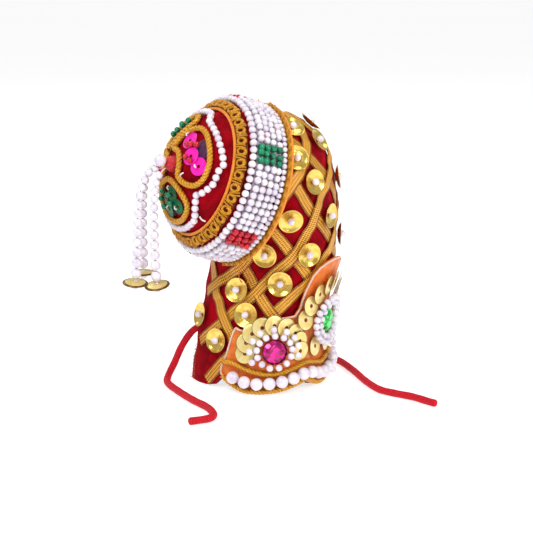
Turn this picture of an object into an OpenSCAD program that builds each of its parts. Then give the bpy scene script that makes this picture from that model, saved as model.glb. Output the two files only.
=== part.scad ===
// Crown for a small temple figure: a velvet cap laid over with gold ribbon and cupped sequins,
// a three panel tiara at the front, and a big pearl-ringed hair bun at the back right.
// +Z is up, the tiara faces -Y, the wearer's right is -X, and z = 0 is the table it stands on.

/* [Cap] */
// Thickness of the velvet and its stiffener
cap_wall = 1.6; // [1:0.1:2.5]
// Height at which the straight side turns into the dome
shoulder_z = 78; // [70:1:84]
// Height of the dome over the shoulder
dome_rise = 32.5; // [28:0.5:36]
// Half of the width of the open back
gap_half_w = 14.3; // [10:0.1:16]
// Height of the open back
gap_h = 50; // [48:1:52]

/* [Ribbon and sequins] */
// Width of the gold ribbon
ribbon_w = 4.8; // [4:0.1:5.5]
// Thickness of the gold ribbon
ribbon_t = 0.35; // [0.25:0.05:0.45]
// Diameter of a cupped sequin
cup_d = 10; // [8:0.5:11]
// Diameter of a small pearl
pearl_d = 2.8; // [2.4:0.1:2.9]

/* [Tiara] */
// Thickness of the padded satin band
band_t = 1; // [0.8:0.1:1.4]
// Diameter of the twisted gold cord
gold_cord_d = 2; // [1.6:0.1:2.2]
// Diameter of the large pearls along the lower edge
large_pearl_d = 5; // [4:0.1:5]
// Diameter of a flat fan sequin
fan_d = 8.4; // [7:0.1:9]
// Diameter of a round side stone
side_stone_d = 9.2; // [8:0.1:9.4]
// Height of the centre stone
centre_stone_h = 10.9; // [10:0.1:11.2]
// Width of the centre stone
centre_stone_w = 8.4; // [7.6:0.1:8.8]

/* [Bun] */
// Radius of the drum of the bun
bun_r = 30; // [29:0.1:30]
// Length of the drum behind the gold ring
bun_depth = 20.5; // [18:0.5:22]
// Height of the domed face over the gold ring
face_rise = 13.5; // [11:0.5:15]
// Turn of the bun from straight back towards the wearer's right
bun_turn = 54.4; // [50:0.1:58]
// Tilt of the bun's face above level
bun_tilt = 17.5; // [15:0.5:20]
// Diameter of the garland beads
garland_bead_d = 2.7; // [2.4:0.1:2.7]
// Diameter of the pearl at the middle of the face
centre_pearl_d = 4.8; // [4:0.1:5]

/* [Tassel and ties] */
// Diameter of the first bead of a tassel strand
strand_top_d = 2.8; // [2.4:0.1:3]
// Diameter of the last bead of a tassel strand
strand_end_d = 4.2; // [3.6:0.1:4.4]
// Diameter of a tie cord
tie_d = 3; // [2.4:0.1:3.2]

/* [Hidden] */

// Smallest clear space between two pieces
gap = 0.1;
$fn = 48;

// Cross sections of the cap: height, half width, front reach, back reach, shift away from the bun
CAP_ROWS = [
    [0, 24, 22.5, 30.5, 0],
    [12, 24, 22.3, 29, 0.3],
    [24, 23.5, 22, 27.5, 1.2],
    [36, 22.5, 23.6, 25.5, 3],
    [48, 21.8, 27, 23, 5],
    [60, 22.8, 28, 22.5, 4.6],
    [70, 24.5, 28.4, 24.5, 2.2],
    [78, 25.5, 28.6, 25.5, 0.5]
];
HEIGHT = 0;
HALF_WIDTH = 1;
FRONT_REACH = 2;
BACK_REACH = 3;
SHIFT = 4;
// How square the front and the back of a cross section are, 2 being an ellipse
front_square = 2.4;
back_square = 2.1;
// Front to back place of the top of the dome
crest_y = -3;
// Length over the dome for each degree of its profile
dome_mm_per_deg = 0.52;
dome_v = 90 * dome_mm_per_deg;

// Lower edge of cap and tiara: angle from the front, height
RIM = [
    [0, 0], [10, 0.6], [18, 2.2], [27, 3.8], [36, 2.7], [48, 1.2], [66, 0], [82, 0.6],
    [94, 3.4], [103, 6.5], [108, 4], [116, 1], [126, 0], [180, 0]
];
// Upper edge of the tiara: angle from the front, height
CREST = [
    [0, 52], [12, 51.5], [20, 50], [26, 47], [30.5, 41], [33.5, 34], [38, 31], [50, 30.3],
    [62, 29.5], [70, 26.5], [76, 25], [86, 25.2], [90, 26], [93, 23.4], [98, 15], [103, 9.6]
];

// A column of the cross sections at any height, joined smoothly
last_row = len(CAP_ROWS) - 1;
function row_slope(i, column) =
    i == last_row ? 0
        : let (lo = CAP_ROWS[max(i - 1, 0)], hi = CAP_ROWS[i + 1])
            (hi[column] - lo[column]) / (hi[HEIGHT] - lo[HEIGHT]);
function section(z, column) =
    let (
        i = max([for (k = [0:last_row - 1]) if (CAP_ROWS[k][HEIGHT] <= max(z, 0)) k]),
        lo = CAP_ROWS[i],
        hi = CAP_ROWS[i + 1],
        h = hi[HEIGHT] - lo[HEIGHT],
        t = (z - lo[HEIGHT]) / h
    )
    (1 + 2 * t) * (1 - t) * (1 - t) * lo[column] + t * (1 - t) * (1 - t) * h * row_slope(i, column)
        + t * t * (3 - 2 * t) * hi[column] - t * t * (1 - t) * h * row_slope(i + 1, column);
// A place on the cap is an angle from the front, towards the wearer's right, and a length up its side
function plan(a, z) =
    let (
        n = cos(a) >= 0 ? front_square : back_square,
        reach = section(z, cos(a) >= 0 ? FRONT_REACH : BACK_REACH),
        k = pow(pow(abs(sin(a)) / section(z, HALF_WIDTH), n) + pow(abs(cos(a)) / reach, n), -1 / n)
    )
    [section(z, SHIFT) - k * sin(a), -k * cos(a)];
function skin(a, v) =
    let (
        p = plan(a, min(v, shoulder_z)),
        phi = v <= shoulder_z ? 0 : min(90, (v - shoulder_z) / dome_mm_per_deg)
    )
    [p[0] * cos(phi), p[1] * cos(phi) + crest_y * (1 - cos(phi)),
        min(v, shoulder_z) + dome_rise * sin(phi)];
function unit(p) = p / norm(p);
function skin_normal(a, v) =
    unit(cross(skin(a, v + 0.3) - skin(a, v - 0.3), skin(a + 0.6, v) - skin(a - 0.6, v)));
function on_skin(a, v, lift = 0) = skin(a, v) + lift * skin_normal(a, v);
// The place that lies dx across and dy up from another, in millimetres over the cloth
function mm_per_deg(a, v) = norm(skin(a + 1, v) - skin(a - 1, v)) / 2;
function beside(a, v, dx, dy) = [a + dx / mm_per_deg(a, v + dy), v + dy];

// The bun's own axis, and where its gold ring lies
bun_dir = [
    -sin(bun_turn) * cos(bun_tilt), cos(bun_turn) * cos(bun_tilt), sin(bun_tilt)
];
bun_at = [-23.8, 13.8, 87.6];
function along_bun(p) = (p - bun_at) * bun_dir;
function off_bun(p) = norm(p - bun_at - along_bun(p) * bun_dir);
// Sphere of the domed face, in the bun's own frame
face_edge_r = 25.5;
face_sphere_r = (pow(face_edge_r, 2) + pow(face_rise, 2)) / (2 * face_rise);
face_sphere_z = face_rise - face_sphere_r;
function on_face(alpha, theta, lift = 0) =
    [0, 0, face_sphere_z] + (face_sphere_r + lift) * face_normal(alpha, theta);
// Theta is measured from the top of the face, clockwise as it is looked at
function face_normal(alpha, theta) =
    [-sin(alpha) * cos(theta), sin(alpha) * sin(theta), cos(alpha)];

// A smooth curve through hand placed points
function blend4(p, t) =
    0.5 * (2 * p[1] + t * (p[2] - p[0]) + t * t * (2 * p[0] - 5 * p[1] + 4 * p[2] - p[3])
        + t * t * t * (3 * p[1] - p[0] - 3 * p[2] + p[3]));
function curve(pts, steps) =
    let (n = len(pts))
    concat(
        [for (i = [0:n - 2], k = [0:steps - 1])
            blend4([pts[max(i - 1, 0)], pts[i], pts[i + 1], pts[min(i + 2, n - 1)]], k / steps)],
        [pts[n - 1]]
    );

// Faces of a tube whose rings all have the same number of points
function wall_faces(rings, sides) =
    [for (i = [0:rings - 2], k = [0:sides - 1])
        let (a = i * sides + k, b = i * sides + (k + 1) % sides)
            each [[a, b, b + sides], [a, b + sides, a + sides]]];
function end_faces(rings, sides) =
    concat(
        [for (k = [1:sides - 2]) [0, k + 1, k]],
        [for (k = [1:sides - 2]) [(rings - 1) * sides, (rings - 1) * sides + k, (rings - 1) * sides + k + 1]]
    );
function loop_faces(rings, sides) =
    [for (i = [0:rings - 1], k = [0:sides - 1])
        let (
            a = i * sides + k,
            b = i * sides + (k + 1) % sides,
            c = ((i + 1) % rings) * sides + (k + 1) % sides,
            d = ((i + 1) % rings) * sides + k
        )
            each [[a, b, c], [a, c, d]]];
function direction(pts, i, closed = false) =
    let (n = len(pts))
    unit(closed ? pts[(i + 1) % n] - pts[(i + n - 1) % n] : pts[min(i + 1, n - 1)] - pts[max(i - 1, 0)]);
// Round tube along points; ups gives the outward direction at each
module tube(pts, ups, r, sides, closed = false) {
    rings = [
        for (i = [0:len(pts) - 1])
            let (
                t = direction(pts, i, closed),
                side = unit(cross(ups[i], t)),
                up = cross(t, side)
            )
                each [for (k = [0:sides - 1])
                    pts[i] + r * (cos(k * 360 / sides) * side + sin(k * 360 / sides) * up)]
    ];
    polyhedron(
        rings,
        closed ? [for (f = loop_faces(len(pts), sides)) [f[0], f[2], f[1]]]
            : [for (f = concat(wall_faces(len(pts), sides), end_faces(len(pts), sides))) [f[0], f[2], f[1]]]
    );
}
module face_to(p, n) {
    translate(p) rotate([0, acos(n[2]), atan2(n[1], n[0])]) children();
}
module on_cap(at, lift = 0) {
    face_to(on_skin(at[0], at[1], lift), skin_normal(at[0], at[1])) children();
}
// Rotates the bun's own frame, whose Z runs out of its face, to its place on the cap
module bun_frame() {
    translate(bun_at) rotate([0, 90 - bun_tilt, 90 + bun_turn]) children();
}

// Velvet cap, a shell whose lower rim follows the scallops
cap_sides = 40;
CAP_LEVELS = [0, 12, 24, 36, 48, 60, 70, 78, 88, 98, 108, 117];
function rim(a) = lookup(abs(a > 180 ? a - 360 : a), RIM);
function level(a, v) = v + rim(a) * max(0, 1 - v / 24);
module cap_form(lift_out, lift_in) {
    n = cap_sides;
    m = len(CAP_LEVELS);
    outside = [for (v = CAP_LEVELS, k = [0:n - 1]) on_skin(k * 360 / n, level(k * 360 / n, v), lift_out)];
    inside = [for (v = CAP_LEVELS, k = [0:n - 1]) on_skin(k * 360 / n, level(k * 360 / n, v), lift_in)
        * [[1, 0, 0], [0, 1, 0], [0, 0, v == 0 ? 0 : 1]] + [0, 0, v == 0 ? rim(k * 360 / n) : 0]];
    top = [0, crest_y, shoulder_z + dome_rise];
    shell = n * m;
    polyhedron(
        concat(outside, inside, [top + [0, 0, lift_out], top + [0, 0, lift_in]]),
        concat(
            [for (f = wall_faces(m, n)) f],
            [for (k = [0:n - 1]) [shell - n + k, shell - n + (k + 1) % n, 2 * shell]],
            [for (f = wall_faces(m, n)) [f[0] + shell, f[2] + shell, f[1] + shell]],
            [for (k = [0:n - 1]) [2 * shell - n + k, 2 * shell + 1, 2 * shell - n + (k + 1) % n]],
            [for (k = [0:n - 1])
                let (a = k, b = (k + 1) % n)
                    each [[a, a + shell, b + shell], [a, b + shell, b]]]
        )
    );
}
// The open back: height and half width up its edge, straight below and arched above
GAP_EDGE = [[-5, gap_half_w], [27, gap_half_w], [36, 10.6], [gap_h - 5, 6], [gap_h, 2]];
module cap() {
    color("darkred")
        difference() {
            cap_form(0, -cap_wall);
            rotate([90, 0, 180])
                linear_extrude(60)
                    polygon(concat(
                        [for (q = GAP_EDGE) [q[1], q[0]]],
                        [for (i = [len(GAP_EDGE) - 1:-1:0]) [-GAP_EDGE[i][1], GAP_EDGE[i][0]]]
                    ));
        }
}

// Gold ribbons of the wearer's right side: places where each runs over the cap.
// Those that rise to the front, and those that fall to the front; the left side mirrors them.
RISING = [
    [[124, 2], [101, 13], [78, 22], [55, 32], [43, 37], [31, 42], [20, 47.5], [8, 54], [-13, 66],
        [-25, 73], [-38, 83], [-54, 92], [-74, 98], [-96, 101]],
    [[146, 14], [110, 26.5], [93, 33], [76, 39], [60, 46.6], [43, 54.5], [28, 66], [17, 76], [3, 83],
        [-14, 90], [-28, 97], [-46, 104], [-76, 110], [-110, 112]],
    [[148, 34], [107, 45.5], [88, 51.5], [66, 66], [53, 76.5], [41, 84], [32, 89], [22, 96.5],
        [12.5, 105], [12, 112], [14, 117]],
    [[152, 60], [128, 66], [106, 76], [88, 88], [72, 100], [60, 112]],
    [[158, 80], [138, 88], [118, 98], [100, 110]]
];
FALLING = [
    [[160, 62], [146, 53.5], [131, 44], [112, 32], [93.5, 20.5], [84, 14]],
    [[150, 90], [134, 79], [118, 68], [104, 59], [90, 50], [75, 41], [59, 32], [48, 26]],
    [[130, 106], [111, 96], [92, 86], [75, 76], [58.5, 65.5], [44, 56], [30, 47.5], [20, 42]]
];
// A ribbon ends at the edge of the open back and where the bun's outer braid meets the cap
edge_margin = 0.6;
top_edge = gap_h + 4;
bun_clear_r = 34.8;
bun_clear_z = -bun_depth - 2;
// A length with fewer places than this is left off
shortest_length = 6;
function ribbon_fits(p) =
    !(p[1] > 0 && abs(p[0]) < lookup(p[2], GAP_EDGE) + edge_margin + ribbon_w / 2 && p[2] < top_edge)
    && !(off_bun(p) < bun_clear_r && along_bun(p) > bun_clear_z);
module ribbon(places, lift) {
    fine = curve(places, 3);
    n = len(fine);
    fits = [for (q = fine) ribbon_fits(skin(q[0], q[1]))];
    // A ribbon that passes under the bun goes on behind it as a second length
    for (i = [0:n - 1])
        if (fits[i] && (i == 0 || !fits[i - 1]))
            let (end = min(concat([n], [for (k = [i:n - 1]) if (!fits[k]) k])) - 1)
                if (end - i + 1 >= shortest_length)
                    ribbon_length([for (k = [i:end]) fine[k]], lift);
}
module ribbon_length(used, lift) {
    mid = [for (q = used) on_skin(q[0], q[1], lift)];
    rings = [
        for (i = [0:len(used) - 1])
            let (
                up = skin_normal(used[i][0], used[i][1]),
                side = unit(cross(up, direction(mid, i))),
                half = side * ribbon_w / 2,
                top = up * ribbon_t
            )
                each [mid[i] - half, mid[i] + half, mid[i] + half + top, mid[i] - half + top]
    ];
    polyhedron(
        rings,
        [for (f = concat(wall_faces(len(used), 4), end_faces(len(used), 4))) [f[0], f[2], f[1]]]
    );
}
function mirrored(places) = [for (q = places) [-q[0], q[1]]];
lower_lift = 0.3;
upper_lift = lower_lift + ribbon_t + 0.4;
// The third rising ribbon bridges the hollow of the neck and lies a little higher
neck_ribbon = 2;
neck_rise = 0.22;
module ribbons_rising_right() {
    color("goldenrod") {
        for (i = [0:len(RISING) - 1])
            ribbon(RISING[i], lower_lift + (i == neck_ribbon ? neck_rise : 0));
        for (places = FALLING) ribbon(mirrored(places), lower_lift);
    }
}
module ribbons_rising_left() {
    color("goldenrod") {
        for (places = FALLING) ribbon(places, upper_lift);
        for (places = RISING) ribbon(mirrored(places), upper_lift);
    }
}

// Cupped sequins: angle, height
SEQUINS = [
    [138, 27.5], [111.5, 19.5], [94.5, 40], [82, 30.8], [66.5, 55.5], [52.5, 43.5],
    [30, 55.5], [44, 70.5], [23, 84], [36, 93], [29, 106], [4.5, 70], [-2.5, 98.5],
    [-23, 83], [-31, 106], [-20, 60], [-44, 71], [-52.5, 42.4], [-66.5, 55.5],
    [-80.6, 30.4], [-95, 41], [-111.5, 19.2], [-138, 27.5], [-90, 70], [-116, 56],
    [-64, 88]
];
cup_t = 0.3;
cup_rise = 1.5;
cup_lift = 0.8;
// Radius of the cup's flat middle and how far it stands over the eye
cup_flat_r = 2;
cup_flat_rise = 0.2;
module cup(eye_r, rise) {
    rotate_extrude()
        polygon([
            [eye_r, 0], [cup_flat_r, cup_flat_rise], [cup_d / 2, rise], [cup_d / 2, rise + cup_t],
            [cup_flat_r, cup_flat_rise + cup_t], [eye_r, cup_t]
        ]);
}
module cap_sequins() {
    color("gold")
        for (q = SEQUINS)
            on_cap(q, cup_lift) cup(0.5, cup_rise);
}
module cap_sequin_pearls() {
    color("white")
        for (q = SEQUINS)
            on_cap(q, cup_lift + cup_t + gap + pearl_d / 2) sphere(d = pearl_d);
}

// Padded satin band that carries the tiara
band_in = upper_lift + ribbon_t + 0.35;
band_out = band_in + band_t;
BAND_ANGLES = [
    103, 100.5, 98, 96, 94, 92, 89.5, 87, 84, 80, 75, 70, 65, 60, 55, 50, 45, 40, 36, 33.5, 32, 30.5,
    29, 27.5, 26, 23.5, 21, 18, 14, 10, 5, 0
];
BAND_LEVELS = [0, 0.32, 0.56, 0.75, 0.88, 1];
module tiara_band() {
    n = len(BAND_LEVELS);
    half = len(BAND_ANGLES);
    angles = concat(BAND_ANGLES, [for (i = [half - 2:-1:0]) -BAND_ANGLES[i]]);
    rings = [
        for (a = angles)
            let (low = rim(abs(a)), high = lookup(abs(a), CREST))
                each concat(
                    [for (f = BAND_LEVELS) on_skin(a, low + f * (high - low), band_in)],
                    [for (j = [n - 1:-1:0]) on_skin(a, low + BAND_LEVELS[j] * (high - low), band_out)]
                )
    ];
    color("darkorange")
        intersection() {
            polyhedron(rings, concat(wall_faces(len(angles), 2 * n), end_faces(len(angles), 2 * n)));
            translate([-50, -50, 0]) cube([100, 100, 70]);
        }
}

// Twisted gold cords over the tiara
UPPER_CORD = [
    [101, 12], [92, 12.2], [77, 10], [64, 8.6], [52, 8.6], [40, 10], [27, 11.4], [14, 10.4], [0, 9.2]
];
function both_sides(places) =
    concat(places, [for (i = [len(places) - 2:-1:0]) [-places[i][0], places[i][1]]]);
cord_lift = band_out + gap + gold_cord_d / 2;
module gold_cord(places, steps) {
    fine = curve(both_sides(places), steps);
    tube(
        [for (q = fine) on_skin(q[0], q[1], cord_lift)],
        [for (q = fine) skin_normal(q[0], q[1])],
        gold_cord_d / 2, 6
    );
}
module tiara_cord_upper() {
    color("orange") gold_cord(UPPER_CORD, 3);
}
LOWER_CORD_ANGLES = [100.5, 94, 87, 80, 73, 66, 58, 50, 43, 36, 31, 27, 22, 17, 12, 6, 0];
module tiara_cord_lower() {
    color("orange")
        gold_cord([for (a = LOWER_CORD_ANGLES) [a, max(rim(a), 0.2) + gold_cord_d / 2]], 2);
}
// Large pearls: angle, height of the centre
LARGE_PEARLS = [
    [0, 5.1], [11.6, 5.9], [22, 7.3], [32, 7.6], [41.2, 6.5], [50.2, 5.6], [59.3, 5.1], [68.6, 4.9],
    [78.3, 5.4], [88.4, 6.8]
];
module large_pearl(a, v) {
    on_cap([a, v], band_out + gap + large_pearl_d / 2) sphere(d = large_pearl_d);
}
module tiara_large_pearls() {
    color("white")
        for (q = LARGE_PEARLS) {
            large_pearl(q[0], q[1]);
            if (q[0] > 0) large_pearl(-q[0], q[1]);
        }
}

// Middle of each panel of the tiara
side_panel = [56, 17.4];
centre_panel = [0, 27.5];
side_fan_r = 9.9;
side_fan_count = 9;
side_fan_step = 24;
centre_fan_count = 9;
centre_fan_step = 21;
fan_lift = band_out + 1.1;
centre_fan_lift = fan_lift + 1;
fan_t = 0.2;
fan_tip = 10.5;
fan_eye_d = 0.9;
// Half width and half height of the oval that the centre fan follows, and of the two sequins below it
CENTRE_FAN = [12, 16.4];
LOW_PAIR = [9.6, 12.6];
low_pair_turn = 150;
// Shingled flat sequin at an angle round a panel's middle, measured from the top
module fan_sequin(panel, rx, ry, t, tip, lift = fan_lift) {
    q = beside(panel[0], panel[1], rx * sin(t), ry * cos(t));
    on_cap(q, lift) rotate(t + 180) rotate([tip, 0, 0])
        difference() {
            cylinder(h = fan_t, d = fan_d);
            translate([0, 0, -1]) cylinder(h = 2, d = fan_eye_d);
        }
}
module side_fans(side) {
    color("gold")
        for (i = [0:side_fan_count - 1]) {
            t = (i - (side_fan_count - 1) / 2) * side_fan_step;
            fan_sequin(
                [side * side_panel[0], side_panel[1]], side_fan_r, side_fan_r, side * t, side * fan_tip
            );
        }
}
module fan_sequins_right() {
    side_fans(1);
}
module fan_sequins_left() {
    side_fans(-1);
}
module fan_sequins_centre() {
    color("gold") {
        for (i = [0:centre_fan_count - 1]) {
            t = (i - (centre_fan_count - 1) / 2) * centre_fan_step;
            fan_sequin(centre_panel, CENTRE_FAN[0], CENTRE_FAN[1], t, fan_tip, centre_fan_lift);
        }
        for (s = [-1, 1]) fan_sequin(centre_panel, LOW_PAIR[0], LOW_PAIR[1], s * low_pair_turn, 0);
    }
}
// Ring of pearls round a panel's stone
ring_pearl_d = pearl_d - gap;
// Half width and half height of each ring over the cloth, and its number of pearls
SIDE_RING = [5.5, 6.3, 13];
CENTRE_RING = [6, 7.7, 14];
pearl_lift = fan_lift + fan_t + 0.35 + pearl_d / 2;
// Turn along an oval for even steps, from the shorter half width rx and the longer ry
function oval_turn(u, rx, ry) = u + 90 / PI * (ry - rx) / (ry + rx) * sin(2 * u);
module ring_of_pearls(panel, ring, lift = pearl_lift) {
    color("white")
        for (i = [0:ring[2] - 1]) {
            t = oval_turn(i * 360 / ring[2], ring[0], ring[1]);
            on_cap(beside(panel[0], panel[1], ring[0] * sin(t), ring[1] * cos(t)), lift)
                sphere(d = ring_pearl_d);
        }
}
module pearl_ring_right() {
    ring_of_pearls(side_panel, SIDE_RING);
}
module pearl_ring_left() {
    ring_of_pearls([-side_panel[0], side_panel[1]], SIDE_RING);
}
module pearl_ring_centre() {
    ring_of_pearls(centre_panel, CENTRE_RING, pearl_lift + centre_fan_lift - fan_lift);
}

// Cut stones with a flat table and a crown of facets, each in a tapered cup that stands on the satin
stone_lift = fan_lift + fan_t + 0.3;
centre_stone_lift = stone_lift + centre_fan_lift - fan_lift;
stone_sides = 12;
// Share of the stone's width and height over its girdle, ring by ring, the table last
CROWN = [[0.5, 0], [0.5, 0.9], [0.34, 2.1], [0.26, 2.4]];
cup_foot = 0.44;
// The satin is hollow from top to bottom at the front, so the long centre cup stands on its two ends
centre_cup_gap = 1.5;
module cut_stone(w, h, depth) {
    outline = concat([[cup_foot, -depth]], CROWN);
    table = len(outline) - 1;
    rings = [
        for (j = [0:table], k = [0:stone_sides - 1])
            let (a = (k + (j == table ? 0.5 : 0)) * 360 / stone_sides)
                [outline[j][0] * h * cos(a), outline[j][0] * w * sin(a), outline[j][1]]
    ];
    polyhedron(rings, concat(wall_faces(table + 1, stone_sides), end_faces(table + 1, stone_sides)));
}
module pink_stone(side) {
    color("deeppink") on_cap([side * side_panel[0], side_panel[1]], stone_lift)
        cut_stone(side_stone_d, side_stone_d, stone_lift - band_out - gap);
}
module pink_stone_right() {
    pink_stone(1);
}
module pink_stone_left() {
    pink_stone(-1);
}
module green_stone() {
    color("limegreen") on_cap(centre_panel, centre_stone_lift)
        cut_stone(centre_stone_w, centre_stone_h, centre_stone_lift - band_out - centre_cup_gap);
}

// Stuffed velvet bun, moulded over the side of the cap
bun_sides = 40;
bun_fit = 0.25;
bun_back_r = bun_r - 6;
drum_front_z = -4.6;
// Slope under the braid, from the drum to the foot of the dome
braid_seat = [bun_r - 1.3, -3.2];
dome_foot_r = 23.8;
dome_rings = 6;
module bun() {
    edge = asin(dome_foot_r / face_sphere_r);
    profile = concat(
        [[bun_back_r, -bun_depth], [bun_r, -bun_depth], [bun_r, drum_front_z], braid_seat],
        [for (i = [0:dome_rings - 1]) let (a = edge * (1 - i / dome_rings))
            [face_sphere_r * sin(a), face_sphere_z + face_sphere_r * cos(a)]]
    );
    n = len(profile);
    s = bun_sides;
    color("darkred")
        difference() {
            bun_frame()
                polyhedron(
                    concat(
                        [for (p = profile, k = [0:s - 1])
                            [p[0] * cos(k * 360 / s), p[0] * sin(k * 360 / s), p[1]]],
                        [[0, 0, face_rise], [0, 0, -bun_depth]]
                    ),
                    concat(
                        [for (f = wall_faces(n, s)) [f[0], f[2], f[1]]],
                        [for (k = [0:s - 1]) [(n - 1) * s + k, n * s, (n - 1) * s + (k + 1) % s]],
                        [for (k = [0:s - 1]) [k, (k + 1) % s, n * s + 1]]
                    )
                );
            cap_core(bun_fit);
            pockets(pocket_h);
        }
}
// The bun closes over the sequins that lie at its edge
pocket_h = 4.6;
pocket_reach = -26;
module pockets(h) {
    for (q = SEQUINS)
        if (under_bun(q)) on_cap(q) cylinder(h = h, d = cup_d + 4 * gap);
}
function under_bun(q) = along_bun(skin(q[0], q[1])) > pocket_reach && off_bun(skin(q[0], q[1])) < bun_r;
// Solid form of the cap, to mould the bun over it
module cap_core(lift) {
    n = cap_sides;
    m = len(CAP_LEVELS);
    polyhedron(
        concat(
            [for (v = CAP_LEVELS, k = [0:n - 1]) on_skin(k * 360 / n, v, lift)],
            [[0, crest_y, shoulder_z + dome_rise + lift], [0, 0, 0]]
        ),
        concat(
            wall_faces(m, n),
            [for (k = [0:n - 1]) [n * (m - 1) + k, n * (m - 1) + (k + 1) % n, n * m]],
            [for (k = [0:n - 1]) [k, n * m + 1, (k + 1) % n]]
        )
    );
}
// Braid round the face, with round edges: middle of its section, width, thickness and lean
face_braid_r = 27.1;
face_braid_z = 0.5;
face_braid_w = 5.4;
face_braid_t = 1.8;
face_braid_lean = -47;
module bun_face_braid() {
    color("orange") bun_frame()
        rotate_extrude($fn = 96)
            translate([face_braid_r, face_braid_z]) rotate(face_braid_lean) {
                square([face_braid_w - face_braid_t, face_braid_t], center = true);
                for (s = [-1, 1])
                    translate([s * (face_braid_w - face_braid_t) / 2, 0]) circle(d = face_braid_t, $fn = 24);
            }
}
// Braid that closes the garland where the bun meets the cap
back_braid_w = 2.5;
back_braid_reach = 2.6;
module bun_back_braid() {
    color("orange")
        difference() {
            bun_frame() rotate_extrude($fn = 96) translate([band_r, -bun_depth]) {
                square([back_braid_reach, back_braid_w]);
                translate([back_braid_reach, back_braid_w / 2]) circle(d = back_braid_w, $fn = 24);
            }
            cap_core(bun_fit);
            pockets(cup_lift + cup_rise + cup_t + gap);
        }
}

// Garland: strings of beads laid side by side across the drum
bead_rows = 4;
row_step = 2.8;
first_row_z = -5.8;
ROW_Z = [for (i = [0:bead_rows - 1]) first_row_z - i * row_step];
// Distance from the bun's axis, height along it and diameter of the two border rows
FRONT_ROW = [30.7, -2.9, 2.8];
BACK_ROW = [31.5, -16.75, 2.2];
band_r = bun_r + 0.15;
row_r = band_r + garland_bead_d / 2 + 0.35;
module garland_profile() {
    for (z = ROW_Z) translate([row_r, z]) circle(d = garland_bead_d, $fn = 24);
    translate([band_r, min(ROW_Z) - garland_bead_d / 2])
        square([row_r - band_r, max(ROW_Z) - min(ROW_Z) + garland_bead_d]);
}
module border_row(row) {
    color("white") bun_frame()
        rotate_extrude($fn = 96) translate([row[0], row[1]]) circle(d = row[2], $fn = 24);
}
module garland_front_row() {
    border_row(FRONT_ROW);
}
module garland_back_row() {
    border_row(BACK_ROW);
}
// Middle angle of each coloured patch, from the top of the face; they alternate red and green
PATCHES = [-5, 66, 131, 193, 250, 303];
patch_deg = 15;
space_deg = 0.4;
function patch_turn(theta) = 180 - theta;
module garland_arc(from, to) {
    rotate(patch_turn(to)) rotate_extrude(angle = to - from, $fn = 96) garland_profile();
}
module garland_pearls() {
    color("white") bun_frame()
        for (i = [0:len(PATCHES) - 1])
            garland_arc(
                PATCHES[i] + patch_deg / 2 + space_deg,
                (i + 1 < len(PATCHES) ? PATCHES[i + 1] : PATCHES[0] + 360) - patch_deg / 2 - space_deg
            );
}
module patches(first) {
    bun_frame()
        for (i = [first:2:len(PATCHES) - 1])
            garland_arc(PATCHES[i] - patch_deg / 2, PATCHES[i] + patch_deg / 2);
}
module garland_red_beads() {
    color("crimson") patches(0);
}
module garland_green_beads() {
    color("seagreen") patches(1);
}

// Flower of four cord petals on the face. Points are degrees over the dome from its middle: across, up
PETALS = [
    [[11, -7], [9.5, 1], [4, 9], [-5, 11.5], [-3.5, 19], [2, 26], [11, 30], [21, 27], [30, 18], [35, 7],
        [34, -4], [28, -10.5], [19, -11]],
    [[7, -12.5], [-2, -11], [-12, -15], [-21, -23], [-25, -31], [-18, -37], [-8, -41], [5, -41],
        [15, -36], [21, -27], [16.5, -19]],
    [[-11, 4], [-12, -7], [-20, -12], [-29, -18], [-37, -11], [-37, 1], [-30, 8], [-20, 6.5]],
    [[-10, 13], [-20, 11.5], [-30, 14], [-31, 22], [-26, 31], [-17, 37], [-8, 40], [-1, 35], [-4, 27],
        [-8, 20]]
];
petal_cord_d = 2.4;
petal_lift = petal_cord_d / 2 + 0.25;
petal_steps = 2;
function face_at(place, lift) = on_face(norm(place), atan2(place[0], place[1]), lift);
function face_up(place) = face_normal(norm(place), atan2(place[0], place[1]));
function closed_curve(pts, steps) =
    let (n = len(pts))
    [for (i = [0:n - 1], k = [0:steps - 1])
        blend4([pts[(i + n - 1) % n], pts[i], pts[(i + 1) % n], pts[(i + 2) % n]], k / steps)];
module petal_cords() {
    color("orange") bun_frame()
        for (petal = PETALS) {
            places = closed_curve(petal, petal_steps);
            tube(
                [for (q = places) face_at(q, petal_lift)],
                [for (q = places) face_up(q)],
                petal_cord_d / 2, 6, true
            );
        }
}
// Flat paillettes: across, up, layer, diameter
PINK_PAILLETTES = [
    [7, 18.5, 0, 7.2], [16.5, 8, 1, 7.2], [25.5, 3, 0, 7.2],
    [-20.5, -2.5, 0, 6], [-29, -1.5, 1, 6], [-28, -9.2, 2, 5.4]
];
GREEN_PAILLETTES = [
    [1.5, -20.5, 0, 7], [9.5, -28.4, 1, 6.2], [-5, -32, 1, 7], [-12.5, -25.5, 0, 6.6],
    [-20.5, 20.7, 0, 6.4], [-12.6, 28.6, 1, 6.4]
];
layer_step = 0.65;
first_layer = 0.35;
paillette_t = 0.25;
paillette_eye_d = 1.4;
module paillettes(places) {
    bun_frame()
        for (q = places)
            face_to(face_at(q, first_layer + layer_step * q[2]), face_up(q))
                difference() {
                    cylinder(h = paillette_t, d = q[3]);
                    translate([0, 0, -1]) cylinder(h = 2, d = paillette_eye_d);
                }
}
module pink_paillettes() {
    color("magenta") paillettes(PINK_PAILLETTES);
}
module green_paillettes() {
    color("darkgreen") paillettes(GREEN_PAILLETTES);
}
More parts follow.
